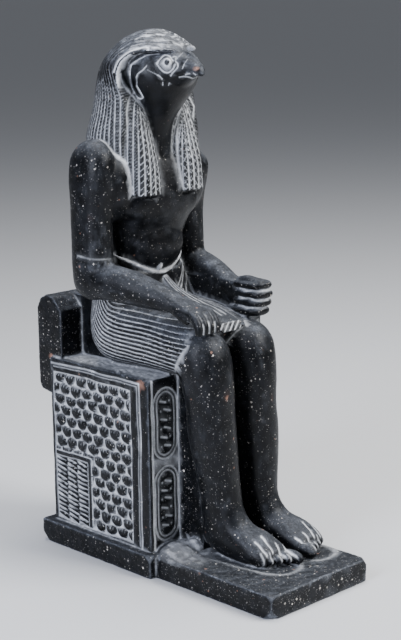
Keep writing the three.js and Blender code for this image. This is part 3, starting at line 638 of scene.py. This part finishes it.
def scaleShape(u, v, width, height, columns, rows):
    # every scale is its pitch wide less the grout, with an elliptical lower end and a slightly
    # arched top, each second row half a pitch to the side. Gives the distance inside the nearest
    # scale, and the distance to the short strokes at its top.
    pitch, drop = width / columns, height / rows
    half, low, arch = pitch / 2 - panel["grout"] / 2, drop * panel["low"], drop * panel["arch"]
    row = np.floor((height - v) / drop)
    inside, stroke = np.full(len(u), -9.0), np.full(len(u), 9.0)
    for k in (-1, 0, 1):
        side = np.mod(u - np.mod(row + k, 2) * pitch / 2, pitch) - pitch / 2
        fall = v - (height - (row + k + panel["waist"]) * drop)
        lower = (1 - np.hypot(side / half, np.minimum(fall, 0) / low)) * low
        upper = np.minimum(half - np.abs(side), arch - panel["bulge"] * (side / half) ** 2 - fall)
        inside = np.maximum(inside, np.where(fall > 0, upper, lower))
        lines = np.min([np.abs(side - place) for place in panel["strokes"]], 0)
        away = np.maximum(np.abs(fall - arch * 0.8) - panel["strokeHalf"], 0)
        stroke = np.minimum(stroke, np.hypot(lines, away))
    return inside, stroke


for side in (-1, 1):
    where = np.nonzero(among("throne") & (p[:, 0] * side > 36.8))[0]
    y, z = p[where, 1] + 0.5 * ripple(p[where], 23, 31), p[where, 2] + 0.5 * ripple(p[where], 19, 32)
    y0, y1, z0, z1 = panel["field"]
    inField = (y > y0) & (y < y1) & (z > z0) & (z < z1)
    doorY, doorZ = panel["door"]
    inDoor = inField & (y > doorY) & (z < doorZ)
    coarse = 1 if side < 0 else 1.35
    scales = inField & ~inDoor
    stray = panel["bend"] * np.stack([ripple(p[where], 5, 37), ripple(p[where], 6, 38)])
    columns, rows = round(panel["columns"] / coarse), round(panel["rows"] / coarse)
    height, stroke = scaleShape(y + stray[0] - y0, z + stray[1] - z0, y1 - y0, z1 - z0, columns, rows)
    wide = 0.25 * ripple(p[where], 4, 33)
    sunk = np.where(scales, panel["boss"] * (1 - smooth(height, -0.4, 1.5)), 0)
    sunk = np.maximum(sunk, np.where(scales, 0.45 * cut(stroke, 0.3), 0))
    white = np.where(scales, 1 - smooth(height + wide, -0.5, 0.1), 0)
    topRow = smooth(z, z1 - 14, z1 - 3)
    bright = np.minimum(1, 0.25 + 0.6 * grain(p[where], 9, 14, 34) + 0.5 * topRow)
    white = np.maximum(white, np.where(scales, cut(stroke, 0.28) * bright, 0))
    inset, gap, front, top = [panel[name] for name in ("doorBand", "lineGap", "lineFront", "lineTop")]
    inner = inDoor & (y >= doorY + inset) & (z <= doorZ - inset)
    u = (y - doorY - inset) / (y1 - doorY - inset) * panel["wedgeColumns"]
    drop = (doorZ - inset - z0) / panel["wedgeRows"]
    across = np.mod(u, 1)
    fall = np.abs(np.mod((z - z0) / drop - 0.5 * across, 1) - 0.5)
    wedge = np.minimum((0.36 - 0.24 * across - fall) * drop, 8 * np.minimum(across, 1 - across) - 0.3)
    sunk = np.where(inner, 0.8 * (1 - smooth(wedge, -0.5, 0.5)), sunk)
    white = np.where(inner, 0.9 * (1 - smooth(wedge + 1.4 * wide, -0.6, -0.1)), white)
    white *= 0.78 + 0.22 * grain(p[where], 3, 12, 35)
    press(where, sunk)
    whiten(where, white)
    sheet = np.stack([y, z], 1)
    fading = 0.45 + 0.55 * grain(p[where], 7, 19, 36)
    for width, deep, white, path in (
            (0.34, 0.5, 0.75, [(y1, z1), (y0, z1), (y0, z0), (y1, z0)]),
            (0.3, 0.3, 0.5, [(y1, z1), (y1, z0)]),
            (0.3, 0.5, 0.75, [(doorY, z0), (doorY, doorZ), (y1, doorZ)]),
            (0.28, 0.5, 0.6, [(doorY + inset, z0), (doorY + inset, doorZ - inset), (y1, doorZ - inset)]),
            (0.46, 0.7, fading, [(front, z0 - 2), (front, top), (y1 + 2, top)]),
            (0.28, 0.3, 0.8 * fading, [(front + gap, z0), (front + gap, top - gap), (y1, top - gap)])):
        engrave(where, lineDistance(sheet, path), width, deep, white)

# throne front: two loops on each side of the legs, holding rows of plain strokes that spell nothing
loops = {"x": 25.2, "half": 8.6, "bands": ((65.5, 106), (18, 61)), "line": 34.9, "gap": 2.3,
         # slanted strokes with a dot beside each, on alternate sides: half width, rise, place of the dot
         "rows": (12.6, 7.6, 2.6, -2.6, -7.6, -12.6), "stroke": (-3.5, 0.8, 1.3), "dot": 3.3}
for side in (-1, 1):
    where = np.nonzero(among("throne") & (p[:, 1] < -2) & (p[:, 0] * side > 14))[0]
    flat = np.stack([np.abs(p[where, 0]) - loops["x"], p[where, 2]], 1)
    flat += 0.3 * ripple(p[where], 15, 41)[:, None]
    engrave(where, flat[:, 0] - loops["line"] + loops["x"], 0.55, 0.5, 1)
    for low, high in loops["bands"]:
        middle = np.clip(flat[:, 1], low + loops["half"], high - loops["half"])
        away = np.hypot(flat[:, 0], flat[:, 1] - middle) - loops["half"]
        engrave(where, away, 0.5, 0.6, 0.8)
        engrave(where, away + loops["gap"], 0.45, 0.6, 0.7)
        for row, rise in enumerate(loops["rows"]):
            level, way = (low + high) / 2 + rise, 1 - 2 * ((row + (low > 60)) % 2)
            start, end, tilt = loops["stroke"]
            stroke = [(way * start, level - way * tilt / 2), (way * end, level + way * tilt / 2)]
            dot = [(way * loops["dot"], level), (way * loops["dot"], level - 0.1)]
            engrave(where, np.minimum(lineDistance(flat, stroke), lineDistance(flat, dot)), 0.5, 0.5, 0.8)
    rest = (np.abs(flat[:, 1] - 63.2) < 3.4) & (chalkAndHighlight[where] < 0.2) & (np.abs(flat[:, 0]) < 9)
    chalkAndHighlight[where[rest]] = 0.2 + 0.6 * grain(p[where[rest]], 3, 6, 42)

# feet: lines between the toes and up the instep
where = np.nonzero(among("toe", "leg") & (p[:, 2] > 14.5) & (p[:, 1] < -48))[0]
for side, foot in zip((-1, 1), hands["footX"]):
    for i in range(4):
        x, turn = foot - side * (7 - hands["toePitch"] * i), hands["toeTurn"] * i
        line = [(x, -80), (x - side * 0.3, -69 + turn),
                (x - side * (2.2 - 0.9 * i), -62.5 + 2.4 * i - 3 * (i % 2))]
        stray = lineDistance(p[where][:, :2] + 0.5 * ripple(p[where], 7, 48)[:, None], line)
        engrave(where, stray, 0.42, 0.6, smooth(normal[where, 2], 0.1, 0.45))
        nail = [(x + side * 2.4, -74 + turn), (x + side * 2.2, -70.6 + turn)]
        engrave(where, lineDistance(p[where][:, :2], nail), 0.4, 0.25, 0.55)

# fists: chalk between the fingers
where = np.nonzero(among("finger"))[0]
right = where[(p[where, 0] < 0) & (p[where, 1] < -24) & (p[where, 2] < 148)]
for i in range(1, 4):
    shown = smooth(p[right, 2], 138, 140.5) * (1 - smooth(p[right, 2], 146.5 - i % 2, 148.5 - i % 2))
    between = p[right, 0] + 29.7 - hands["fingerPitch"] * i + 0.06 * (150 - p[right, 2])
    engrave(right, between, 0.36, 0.4, shown)
left = where[(p[where, 0] > 15) & (p[where, 1] < -15)]
for i in range(3):
    uneven = 0.55 + 0.45 * grain(p[left], 4, 9, 46)
    between = p[left, 2] - 156.9 + hands["fistPitch"] * i + 0.5 * ripple(p[left], 8, 45)
    engrave(left, between, 0.5, 0.4, uneven)

# plinth top: a bright ring of stone left round each foot, and rough stone against the throne
ground = {"soles": ([(-9, -30), (-6.5, -48), (-4, -67)], [(20, -30), (22.5, -48), (25, -67)]),
          "soleHalf": 11.5, "hollow": 0.4, "halo": 1.5, "mound": (-22, -16), "moundSpread": 260}
where = np.nonzero(among("plinth") & (p[:, 2] > 11) & (p[:, 1] < -8))[0]
rightSole, leftSole = [lineDistance(p[where][:, :2], sole) for sole in ground["soles"]]
feet = np.minimum(rightSole, leftSole) - ground["soleHalf"]
feet += 0.8 * ripple(p[where], 16, 51)
press(where, ground["hollow"] * (1 - smooth(feet, 0.2, 1.8)) * (p[where, 1] < -24))
halo = cut(feet - ground["halo"], ground["halo"]) * smooth(-p[where, 1], 26, 36)
halo *= 0.35 + 0.65 * grain(p[where], 2.4, 9, 54)
whiten(where, 0.8 * halo)
fromMound = np.hypot(*(p[where][:, :2] - ground["mound"]).T)
rough = np.exp(-fromMound ** 2 / ground["moundSpread"])
depth[where] -= 0.5 * rough * ripple(p[where], 8, 52)
whiten(where, 0.7 * rough * (0.3 + 0.7 * grain(p[where], 6, 19, 53)))

# the face, drawn on an oblique plane as it is seen from its front corner: mm from the eye
slant = np.radians([-44.2, 12.2])
x, y, z = -np.abs(p[:, 0]), p[:, 1] - head["farBack"] * smooth(p[:, 0], 1, 7), p[:, 2]
sideways = x * np.cos(slant[0]) + y * np.sin(slant[0])
upward = z * np.cos(slant[1]) - np.sin(slant[1]) * (x * np.sin(slant[0]) - y * np.cos(slant[0]))
eyeX, eyeY, eyeZ = head["eye"]
eyeSide = -eyeX * np.cos(slant[0]) + eyeY * np.sin(slant[0])
eyeUp = eyeZ * np.cos(slant[1]) - np.sin(slant[1]) * (-eyeX * np.sin(slant[0]) - eyeY * np.cos(slant[0]))
plane = np.stack([sideways - eyeSide, upward - eyeUp], 1)
outlines = [  # width, depth, chalk, points
    # from the brow down behind the cheek
    (0.3, 0.5, 0.85, [(-4, 5.9), (-6.6, 5.6), (-10.9, 5.1), (-13.5, 3.9), (-16.8, 2.5), (-19.7, 0.7)]),
    (0.46, 0.5, 0.95, [(-19.7, 0.7), (-20.7, -1.8), (-21, -4.6), (-20.9, -7.5), (-20.1, -10.8),
                       (-18.9, -13.8)]),
    (0.28, 0.4, 0.8, [(-18.9, -13.8), (-17.1, -15.9), (-15.1, -17.1), (-13.5, -16.7)]),
    (0.5, 0.1, 0.5, [(-19, 1), (-15.6, 2.2)]),
    # the cheek
    (0.28, 0.3, 0.8, [(-11, -1.1), (-13.2, -3.3), (-15.8, -4.9), (-16.6, -6.2)]),
    (0.2, 0.25, 0.45, [(-16.6, -6.2), (-16.5, -8.9), (-16.8, -10.8)]),
    (0.28, 0.4, 0.9, [(-16.8, -10.8), (-15.8, -12.5), (-14.7, -14.4), (-13.7, -16.4)]),
    (0.17, 0.2, 0.35, [(-10.9, -3.1), (-8.3, -4.6), (-5.3, -6.2)]),
    (0.26, 0.3, 0.8, [(-5.3, -6.2), (-3.7, -7.2), (-2.7, -8.5)]),
    (0.18, 0.3, 0.8, [(-2.5, -10.2), (-2.5, -11.5)]), (0.16, 0.3, 0.75, [(1.1, -10.2), (0.6, -11.6)]),
    # the lids, and the corner towards the beak
    (0.28, 0.45, 0.85, [(-5.6, 0.3), (-3.7, 2.3), (-1.7, 4.3), (-0.4, 4.6), (1.2, 3.9), (2.2, 2.6),
                        (3.3, 1)]),
    (0.3, 0.45, 0.95, [(-5.6, -0.3), (-3.7, -3), (-1.4, -4.9), (0.6, -5.2), (2.2, -4.3), (3.9, -2.3),
                       (4.4, -1)]),
    (0.28, 0.4, 0.9, [(1.9, -6.9), (2.9, -5.6), (4.2, -4.3), (5.7, -2.6), (5.8, -0.7), (4.9, 0.3)]),
    (0.22, 0.3, 0.65, [(2.2, 2.8), (4.9, 3.3), (4.5, 1), (5.2, 0.2)]),
    (0.45, 0.2, 0.7, [(-5.6, 0), (-4.8, 0.1)]),
    (0.22, 0.25, 0.4, [(4.9, 1.3), (6.2, 3), (8.5, 5.6)]),
    # the beak: its root, the mouth and the nostril
    (0.15, 0.4, 0.4, [(11.2, 1.8), (10.1, 0.3), (9.2, -1.2)]), (0.22, 0.4, 0.75, [(9.2, -1.2), (8.2, -3.4)]),
    (0.22, 0.6, 0.7, [(6.5, -7.7), (8.8, -7.4), (11.4, -7.7), (14.4, -8.4)]),
    (0.28, 0.25, 0.7, [(9.8, -6.6), (12.1, -6.1)]), (0.22, 0.25, 0.7, [(14, -6.2), (15.3, -6.9)]),
    (0.3, 0.5, 0, [(15.6, -3), (16.4, -3.8)]), (0.24, 0.1, 0.4, [(14.6, -2.2), (16, -1.9)]),
]
where = np.nonzero(among("face", "eye", "gap"))[0]
for width, deep, white, points in outlines:
    engrave(where, lineDistance(plane[where], fair(points, 4)), width, deep, white)
ring = np.linalg.norm(plane[where] * [1, 0.94], axis=1) + 0.14 * ripple(p[where], 3, 73)
low = np.linalg.norm(plane[where] + [0.6, 1], axis=1)
whiten(where, 0.75 * smooth(-low, -3, -2.6) * (0.7 + 0.3 * grain(p[where], 2, 5, 74)))
chalkAndHighlight[where] *= 1 - 0.7 * cut(np.linalg.norm(plane[where] + [0.4, 0.5], axis=1) - head["socket"], 0.28)
engrave(where, ring - head["ring"], 0.42, 0.3, 1)
chalkAndHighlight[where] *= smooth(ring, head["pupil"], 1.6)
press(where, 0.45 * (1 - smooth(ring, 0.7, head["pupil"])))
smoky = 0.3 * smooth(plane[where, 1], -9, -2) * grain(p[where], 2.4, 8, 75)
smoky += 0.35 * smooth(plane[where, 0], 8, 11) * grain(p[where], 1.8, 6, 76)
dustAndHighlight[where] = smoky

# a fold above the right elbow, and the shadow and the thin line under the wig's square ends
where = np.nonzero(among("arm") & (p[:, 0] < -30) & (p[:, 1] < 40))[0]
fold = p[where, 2] - 176.5 + 0.16 * (p[where, 0] + 40) + 0.6 * ripple(p[where], 14, 56)
outer = 1 - smooth(p[where, 0], -39, -33)
engrave(where, fold, 0.5, 0.2, outer * (0.15 + 0.4 * grain(p[where], 4, 11, 58)))
dustAndHighlight[where] = 0.5 * cut(fold + 3.5, 3) * grain(p[where], 2, 7, 72)
where = np.nonzero(among("body") & (p[:, 1] < 20) & (np.abs(p[:, 0]) > 9))[0]
engrave(where, p[where, 2] - 209.6, 0.7, 0.7, 0)
line = p[where, 2] - 207.9 + 0.3 * ripple(p[where], 12, 59)
engrave(where, line, 0.3, 0.1, 0.5 * grain(p[where], 5, 9, 60))

# chalk lies where the shoulders and the chest meet the wig; where the knees leave the kilt a painted
# highlight in chalk colour stands for the lit rim of each knee
nearWig, nearKilt = neighbourMean(np.stack([among("wig"), among("kilt")], 1).astype(float), 26).T
bare = among("body", "arm") & (p[:, 2] > 211)
white = smooth(nearWig, 0.02, 0.045) * np.where(np.abs(p[:, 0]) > 20, 1, 0.2)
chalkAndHighlight = np.maximum(chalkAndHighlight, bare * white * (0.7 + 0.3 * grain(p, 3, 11, 55)))
# painted highlight: the knee's lit rim next to the kilt's hem, drawn in chalk colour
kneeRimHighlight = among("leg") * smooth(nearKilt, 0.05, 0.22) * smooth(p[:, 2], 112, 124) * (np.abs(p[:, 0]) > 13)
chalkAndHighlight = np.maximum(chalkAndHighlight, 0.85 * kneeRimHighlight * (0.5 + 0.5 * grain(p, 6, 12, 57)))

# creases keep chalk, sharp edges are worn down and greyed, and what faces up is greyed for dust and for a
# painted highlight of the light from above
softer = neighbourMean(p, 16)
bend = np.einsum("ij,ij->i", softer - p, normal)
patch = grain(p, 3.5, 9, 61)
plainer = np.where(among("gap"), 0, np.where(among("face"), 0.15, 0.4))
keeps = among("throne", "plinth", "backrest", "tie")
chalkAndHighlight = np.maximum(chalkAndHighlight, smooth(bend, 0.1, 0.36) * np.where(keeps, 0.35 + 0.6 * patch, plainer))
wear = smooth(-bend, 0.06, 0.45) * keeps
p += (softer - p) * (wear * (0.6 + 1.8 * np.maximum(ripple(p, 9, 62), 0)))[:, None]
corners = [  # x, y, z, reach of the chip
    (-rearHalf, rearEnd, 0, 3.6), (-rearHalf, stepAt, plinthTop, 3), (frontHalf, toeEnd, plinthTop, 2.4),
    (-frontHalf, toeEnd, plinthTop, 2.6), (-frontHalf, toeEnd, 0, 4),
    (-halfThrone, seat["front"], seat["top"], 3)]
for x, y, z, reach in corners:
    away = p - [x, y, z]
    way = np.array([-np.sign(x), -np.sign(y), 1 if z < 5 else -1]) / 1.73
    push = np.maximum(reach - away @ way, 0) * 0.75
    push = np.where(np.linalg.norm(away, axis=1) < reach * 2, push, 0)
    p += push[:, None] * way
    wear = np.maximum(wear, smooth(push, 0.2, 1.2) * 0.9)
# painted highlight: what faces up turns grey, partly for dust and partly for the light from above on the tops
# of arms, legs, knees and shoulders
up = smooth(normal[:, 2], 0.2, 0.95)
dustAndHighlightOn = {"throne": 0.7, "plinth": 0.35, "backrest": 0.5, "tie": 0.9, "face": 0.45, "kilt": 0.6}
dustAndHighlightAmount = np.full(count, 0.55)
for name, amount in dustAndHighlightOn.items():
    dustAndHighlightAmount[among(name)] = amount
dustAndHighlight += up * dustAndHighlightAmount * (0.25 + 0.4 * grain(p, 6, 15, 63) + 0.6 * grain(p, 1.8, 5, 67))
handled = 0.3 * among("arm") + 0.24 * among("leg") + 0.24 * among("body")
dustAndHighlight += handled * grain(p, 7, 18, 77) * grain(p, 1.6, 4, 78)
crown = among("wig") * smooth(p[:, 2], 278, 291)
dustAndHighlight = np.maximum(dustAndHighlight, crown * (0.12 + 0.6 * grain(p, 2.6, 8, 66)))
dustAndHighlight = np.maximum(dustAndHighlight, wear * (0.35 + 0.6 * patch))
seatTop = among("throne") * smooth(normal[:, 2], 0.7, 0.95)
brushed = (1 - smooth(np.abs(p[:, 0]), 32, 37)) * (0.5 + 0.5 * grain(p, 1.8, 6, 68))
chalkAndHighlight = np.maximum(chalkAndHighlight, seatTop * 0.75 * brushed)
pitted = among("plinth", "backrest", "throne") & (chalkAndHighlight < 0.3)
depth += np.where(pitted, 0.16 * grain(p, 2.1, 3.4, 64), 0) * ~among("throne")
depth += np.where(among("throne") & (normal[:, 2] > 0.6), 0.7 * grain(p, 4, 7, 65), 0)
depth += 0.1 * ripple(p, 13, 3) + 0.05 * ripple(p, 5, 4)

p -= normal * depth[:, None]
p[:, 2] = np.maximum(p[:, 2], 0)
p[:] = np.clip(p, [-49.2, -95.4, 0], [44.4, 94.1, 299.9])

# larger pink grains where the stone shows them: x, y, z, radius
pinks = [(-38, 2, 110, 2.2), (-37, 25, 101, 1.4), (-29, -8, 152, 1.6), (-37, 31, 166, 1.3),
         (-28, 17, 157, 1.2), (-16, -43, 106, 1.5), (20, -44, 100, 2), (-10, -43, 112, 1.6),
         (-36, 82, 112, 1.8), (26, 44, 118, 1.5), (-4, -14, 16, 1.2), (-3, -9, 279, 1.2),
         (-14, 20, 211, 1.4), (-46, 30, 200, 1.2)]
pink = np.zeros(count)
for x, y, z, reach in pinks:
    away = np.linalg.norm(p - [x, y, z], axis=1) + 0.5 * ripple(p, 3, 71)
    pink = np.maximum(pink, 1 - smooth(away, reach * 0.7, reach))
grains = np.where(among("face", "eye"), 0.3, 1.0)
grains = np.where(among("body", "wig"), 0.7, grains)
grains = np.where(among("plinth", "backrest"), 1.3, grains)
mesh.vertices.foreach_set("co", ((p + np.array(block["shift"])) * 0.001).astype(np.float32).ravel())
for key in ("across", "along", "kind"):
    mesh.attributes.remove(mesh.attributes[key])
for key, column in (("chalkAndHighlight", chalkAndHighlight), ("dustAndHighlight", dustAndHighlight), ("pink", pink), ("grains", grains)):
    mesh.attributes.new(key, "FLOAT", "POINT").data.foreach_set("value", column.astype(np.float32))
mesh.update()
print("carved:", int((depth > 0.2).sum()), "points pressed in")

size = np.zeros(len(mesh.polygons), np.int32)
mesh.polygons.foreach_get("loop_total", size)
applied(carved, "DECIMATE", ratio=min(1, block["triangles"] / int((size - 2).sum())))
carved.data.polygons.foreach_set("use_smooth", [True] * len(carved.data.polygons))
print("thinned to", sum(len(f.vertices) - 2 for f in carved.data.polygons), "triangles")


# Stone

def linear(code):
    # sRGB hex to linear values
    part = np.array([int(code[k:k + 2], 16) / 255 for k in (1, 3, 5)])
    return (*np.where(part <= 0.04045, part / 12.92, ((part + 0.055) / 1.055) ** 2.4), 1.0)


def node(tree, kind, settings=None, **links):
    # one node with its settings by name and its inputs by name, a value or another node's output
    made = tree.nodes.new(kind)
    for key, value in (settings or {}).items():
        setattr(made, key, value)
    for key, value in links.items():
        numbered = key[0] == "i" and key[1:].isdigit()
        socket = made.inputs[int(key[1:]) if numbered else key.replace("_", " ")]
        if isinstance(value, bpy.types.NodeSocket):
            tree.links.new(value, socket)
        else:
            socket.default_value = value
    return made


stone = {
    "black": "#060709", "grey": "#14161a", "grains": (
        # cells in a metre, largest grain in cells, share of cells without one, colour, strength
        (1000, 0.46, 0.3, "#807e7c", 0.9), (600, 0.4, 0.45, "#aaa6a0", 1.0),
        (330, 0.31, 0.64, "#d2ccc3", 1.0), (185, 0.26, 0.82, "#96705e", 0.9)),
    # the grey stands for dust and for a painted highlight on what faces up
    "chalkAndHighlight": "#eef1f5", "dustAndHighlight": "#868b94", "pink": "#9a7464", "roughness": 0.34, "sheen": 0.17,
}


def carvedStone():
    # granodiorite ground smooth by hand: black with fine pale feldspar and a few pink grains, chalk rubbed
    # into every cut and a painted highlight in its colour on the knees' lit rims, and grey on what faces up
    # for dust and a painted highlight
    material = bpy.data.materials.new("ground_black_granodiorite_with_chalk")
    material.use_nodes = True
    tree = material.node_tree
    shader = tree.nodes["Principled BSDF"]
    where = node(tree, "ShaderNodeTexCoord").outputs["Object"]

    def noise(scale, detail=3.0):
        return node(tree, "ShaderNodeTexNoise", Vector=where, Scale=scale, Detail=detail).outputs["Fac"]

    def ranged(value, low, high, start, end):
        return node(tree, "ShaderNodeMapRange", i0=value, i1=low, i2=high, i3=start, i4=end).outputs[0]

    def times(a, b, operation="MULTIPLY"):
        settings = {"operation": operation, "use_clamp": True}
        return node(tree, "ShaderNodeMath", settings, i0=a, i1=b).outputs[0]

    def mixed(share, a, b):
        return node(tree, "ShaderNodeMix", {"data_type": "RGBA"}, i0=share, i6=a, i7=b).outputs[2]

    def painted(name):
        return node(tree, "ShaderNodeAttribute", {"attribute_name": name}).outputs["Fac"]

    fine, patches = noise(900.0), noise(160.0, 4.0)
    crowd = times(ranged(noise(55.0), 0.38, 0.6, 0.4, 1.0), painted("grains"))
    stray = node(tree, "ShaderNodeTexNoise", Vector=where, Scale=1500.0, Detail=1.0).outputs["Color"]
    stray = node(tree, "ShaderNodeVectorMath", {"operation": "SCALE"}, i0=stray, Scale=0.0006).outputs[0]
    bent = node(tree, "ShaderNodeVectorMath", {"operation": "ADD"}, i0=where, i1=stray).outputs[0]
    colour = mixed(ranged(patches, 0.42, 0.72, 0.0, 1.0), linear(stone["black"]), linear(stone["grey"]))
    growth = ranged(painted("grains"), 0.0, 2.0, 0.55, 1.45)
    for scale, reach, bare, tint, strength in stone["grains"]:
        cells = node(tree, "ShaderNodeTexVoronoi", {"distance": "MANHATTAN"}, Vector=bent, Scale=float(scale))
        chance = node(tree, "ShaderNodeSeparateColor", Color=cells.outputs["Color"])
        present = times(chance.outputs[0], bare, "GREATER_THAN")
        size = times(times(chance.outputs[1], reach), growth)
        near = times(times(size, cells.outputs["Distance"], "SUBTRACT"), 14.0)
        mask = times(times(near, present), times(ranged(chance.outputs[2], 0.0, 0.6, 0.25, 1.0), crowd))
        mask = times(mask, strength)
        colour = mixed(mask, colour, linear(tint))
    colour = mixed(painted("pink"), colour, linear(stone["pink"]))
    # grey on what faces up: dust, and a painted highlight of the light from above
    dustAndHighlightShare = times(painted("dustAndHighlight"), ranged(fine, 0.3, 0.7, 0.45, 1.25))
    colour = mixed(dustAndHighlightShare, colour, linear(stone["dustAndHighlight"]))
    rubbed = times(ranged(fine, 0.3, 0.6, 0.78, 1.0), ranged(patches, 0.3, 0.5, 0.75, 1.0))
    # chalk in the cuts, and the painted highlight on the knees' rims
    chalkAndHighlightShare = times(painted("chalkAndHighlight"), rubbed)
    colour = mixed(chalkAndHighlightShare, colour, linear(stone["chalkAndHighlight"]))
    tree.links.new(colour, shader.inputs["Base Color"])
    cover = times(dustAndHighlightShare, chalkAndHighlightShare, "MAXIMUM")
    rough = times(ranged(cover, 0.0, 0.7, stone["roughness"], 0.9), ranged(patches, 0.3, 0.7, 0.85, 1.25))
    tree.links.new(rough, shader.inputs["Roughness"])
    shader.inputs["Specular IOR Level"].default_value = stone["sheen"]
    pits = node(tree, "ShaderNodeBump", i0=0.35, i1=0.0003, Height=fine)
    tree.links.new(pits.outputs[0], shader.inputs["Normal"])
    return material


carved.data.materials.clear()
carved.data.materials.append(carvedStone())
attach(carved, "root")
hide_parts("seated_falcon_figure")
print("stone done")

# Floor, light and camera
studio = {"floor": "#d4d5d7", "world": "#c4c8d0", "worldStrength": 0.3, "floorHalf": 400}
floorMesh = bpy.data.meshes.new("floor")
half = studio["floorHalf"]
sheetCorners = [(-half, -half, 0), (half, -half, 0), (half, half, 0), (-half, half, 0)]
floorMesh.from_pydata(sheetCorners, [], [(0, 1, 2, 3)])
floor = bpy.data.objects.new("floor", floorMesh)
scene.collection.objects.link(floor)
paper = bpy.data.materials.new("pale_paper")
paper.use_nodes = True
paper.node_tree.nodes["Principled BSDF"].inputs["Base Color"].default_value = linear(studio["floor"])
paper.node_tree.nodes["Principled BSDF"].inputs["Roughness"].default_value = 0.85
floorMesh.materials.append(paper)
world = bpy.data.worlds.new("studio")
world.use_nodes = True
world.node_tree.nodes["Background"].inputs[0].default_value = linear(studio["world"])
world.node_tree.nodes["Background"].inputs[1].default_value = studio["worldStrength"]
scene.world = world


def softbox(name, place, aim, size, power, colour="#ffffff"):
    # a flat lamp at place that shines towards aim
    light = bpy.data.lights.new(name, "AREA")
    light.shape, light.size, light.size_y = "RECTANGLE", size[0], size[1]
    light.energy, light.color = power, linear(colour)[:3]
    obj = bpy.data.objects.new(name, light)
    obj.location = place
    obj.rotation_euler = (Vector(aim) - Vector(place)).to_track_quat("-Z", "Y").to_euler()
    scene.collection.objects.link(obj)


softbox("key", (0.45, -0.8, 0.95), (0, 0, 0.15), (0.6, 0.6), 22)
softbox("top", (0.1, 0.1, 1.15), (0, 0, 0.15), (0.6, 0.6), 10)
softbox("side", (-1.0, -0.1, 0.55), (0, 0, 0.15), (0.35, 0.9), 14, "#e4ebff")

view = {"azimuth": -0.7713276, "elevation": 0.2128389, "roll": -0.0145991, "distance": 0.84285,
        "target": (0.0062006, 0.0039, 0.1389473), "lens": 1498.507 * 36 / 640}
sa, ca = np.sin(view["azimuth"]), np.cos(view["azimuth"])
se, ce = np.sin(view["elevation"]), np.cos(view["elevation"])
back = Vector((sa * ce, -ca * ce, se))
cameraData = bpy.data.cameras.new("camera")
cameraData.sensor_fit = "AUTO"
cameraData.sensor_width = 36
cameraData.lens = view["lens"]
camera = bpy.data.objects.new("camera", cameraData)
turn = back.to_track_quat("Z", "Y").to_matrix().to_4x4() @ Matrix.Rotation(view["roll"], 4, "Z")
camera.matrix_world = Matrix.Translation(Vector(view["target"]) + back * view["distance"]) @ turn
scene.collection.objects.link(camera)
scene.camera = camera

print("scene ready")
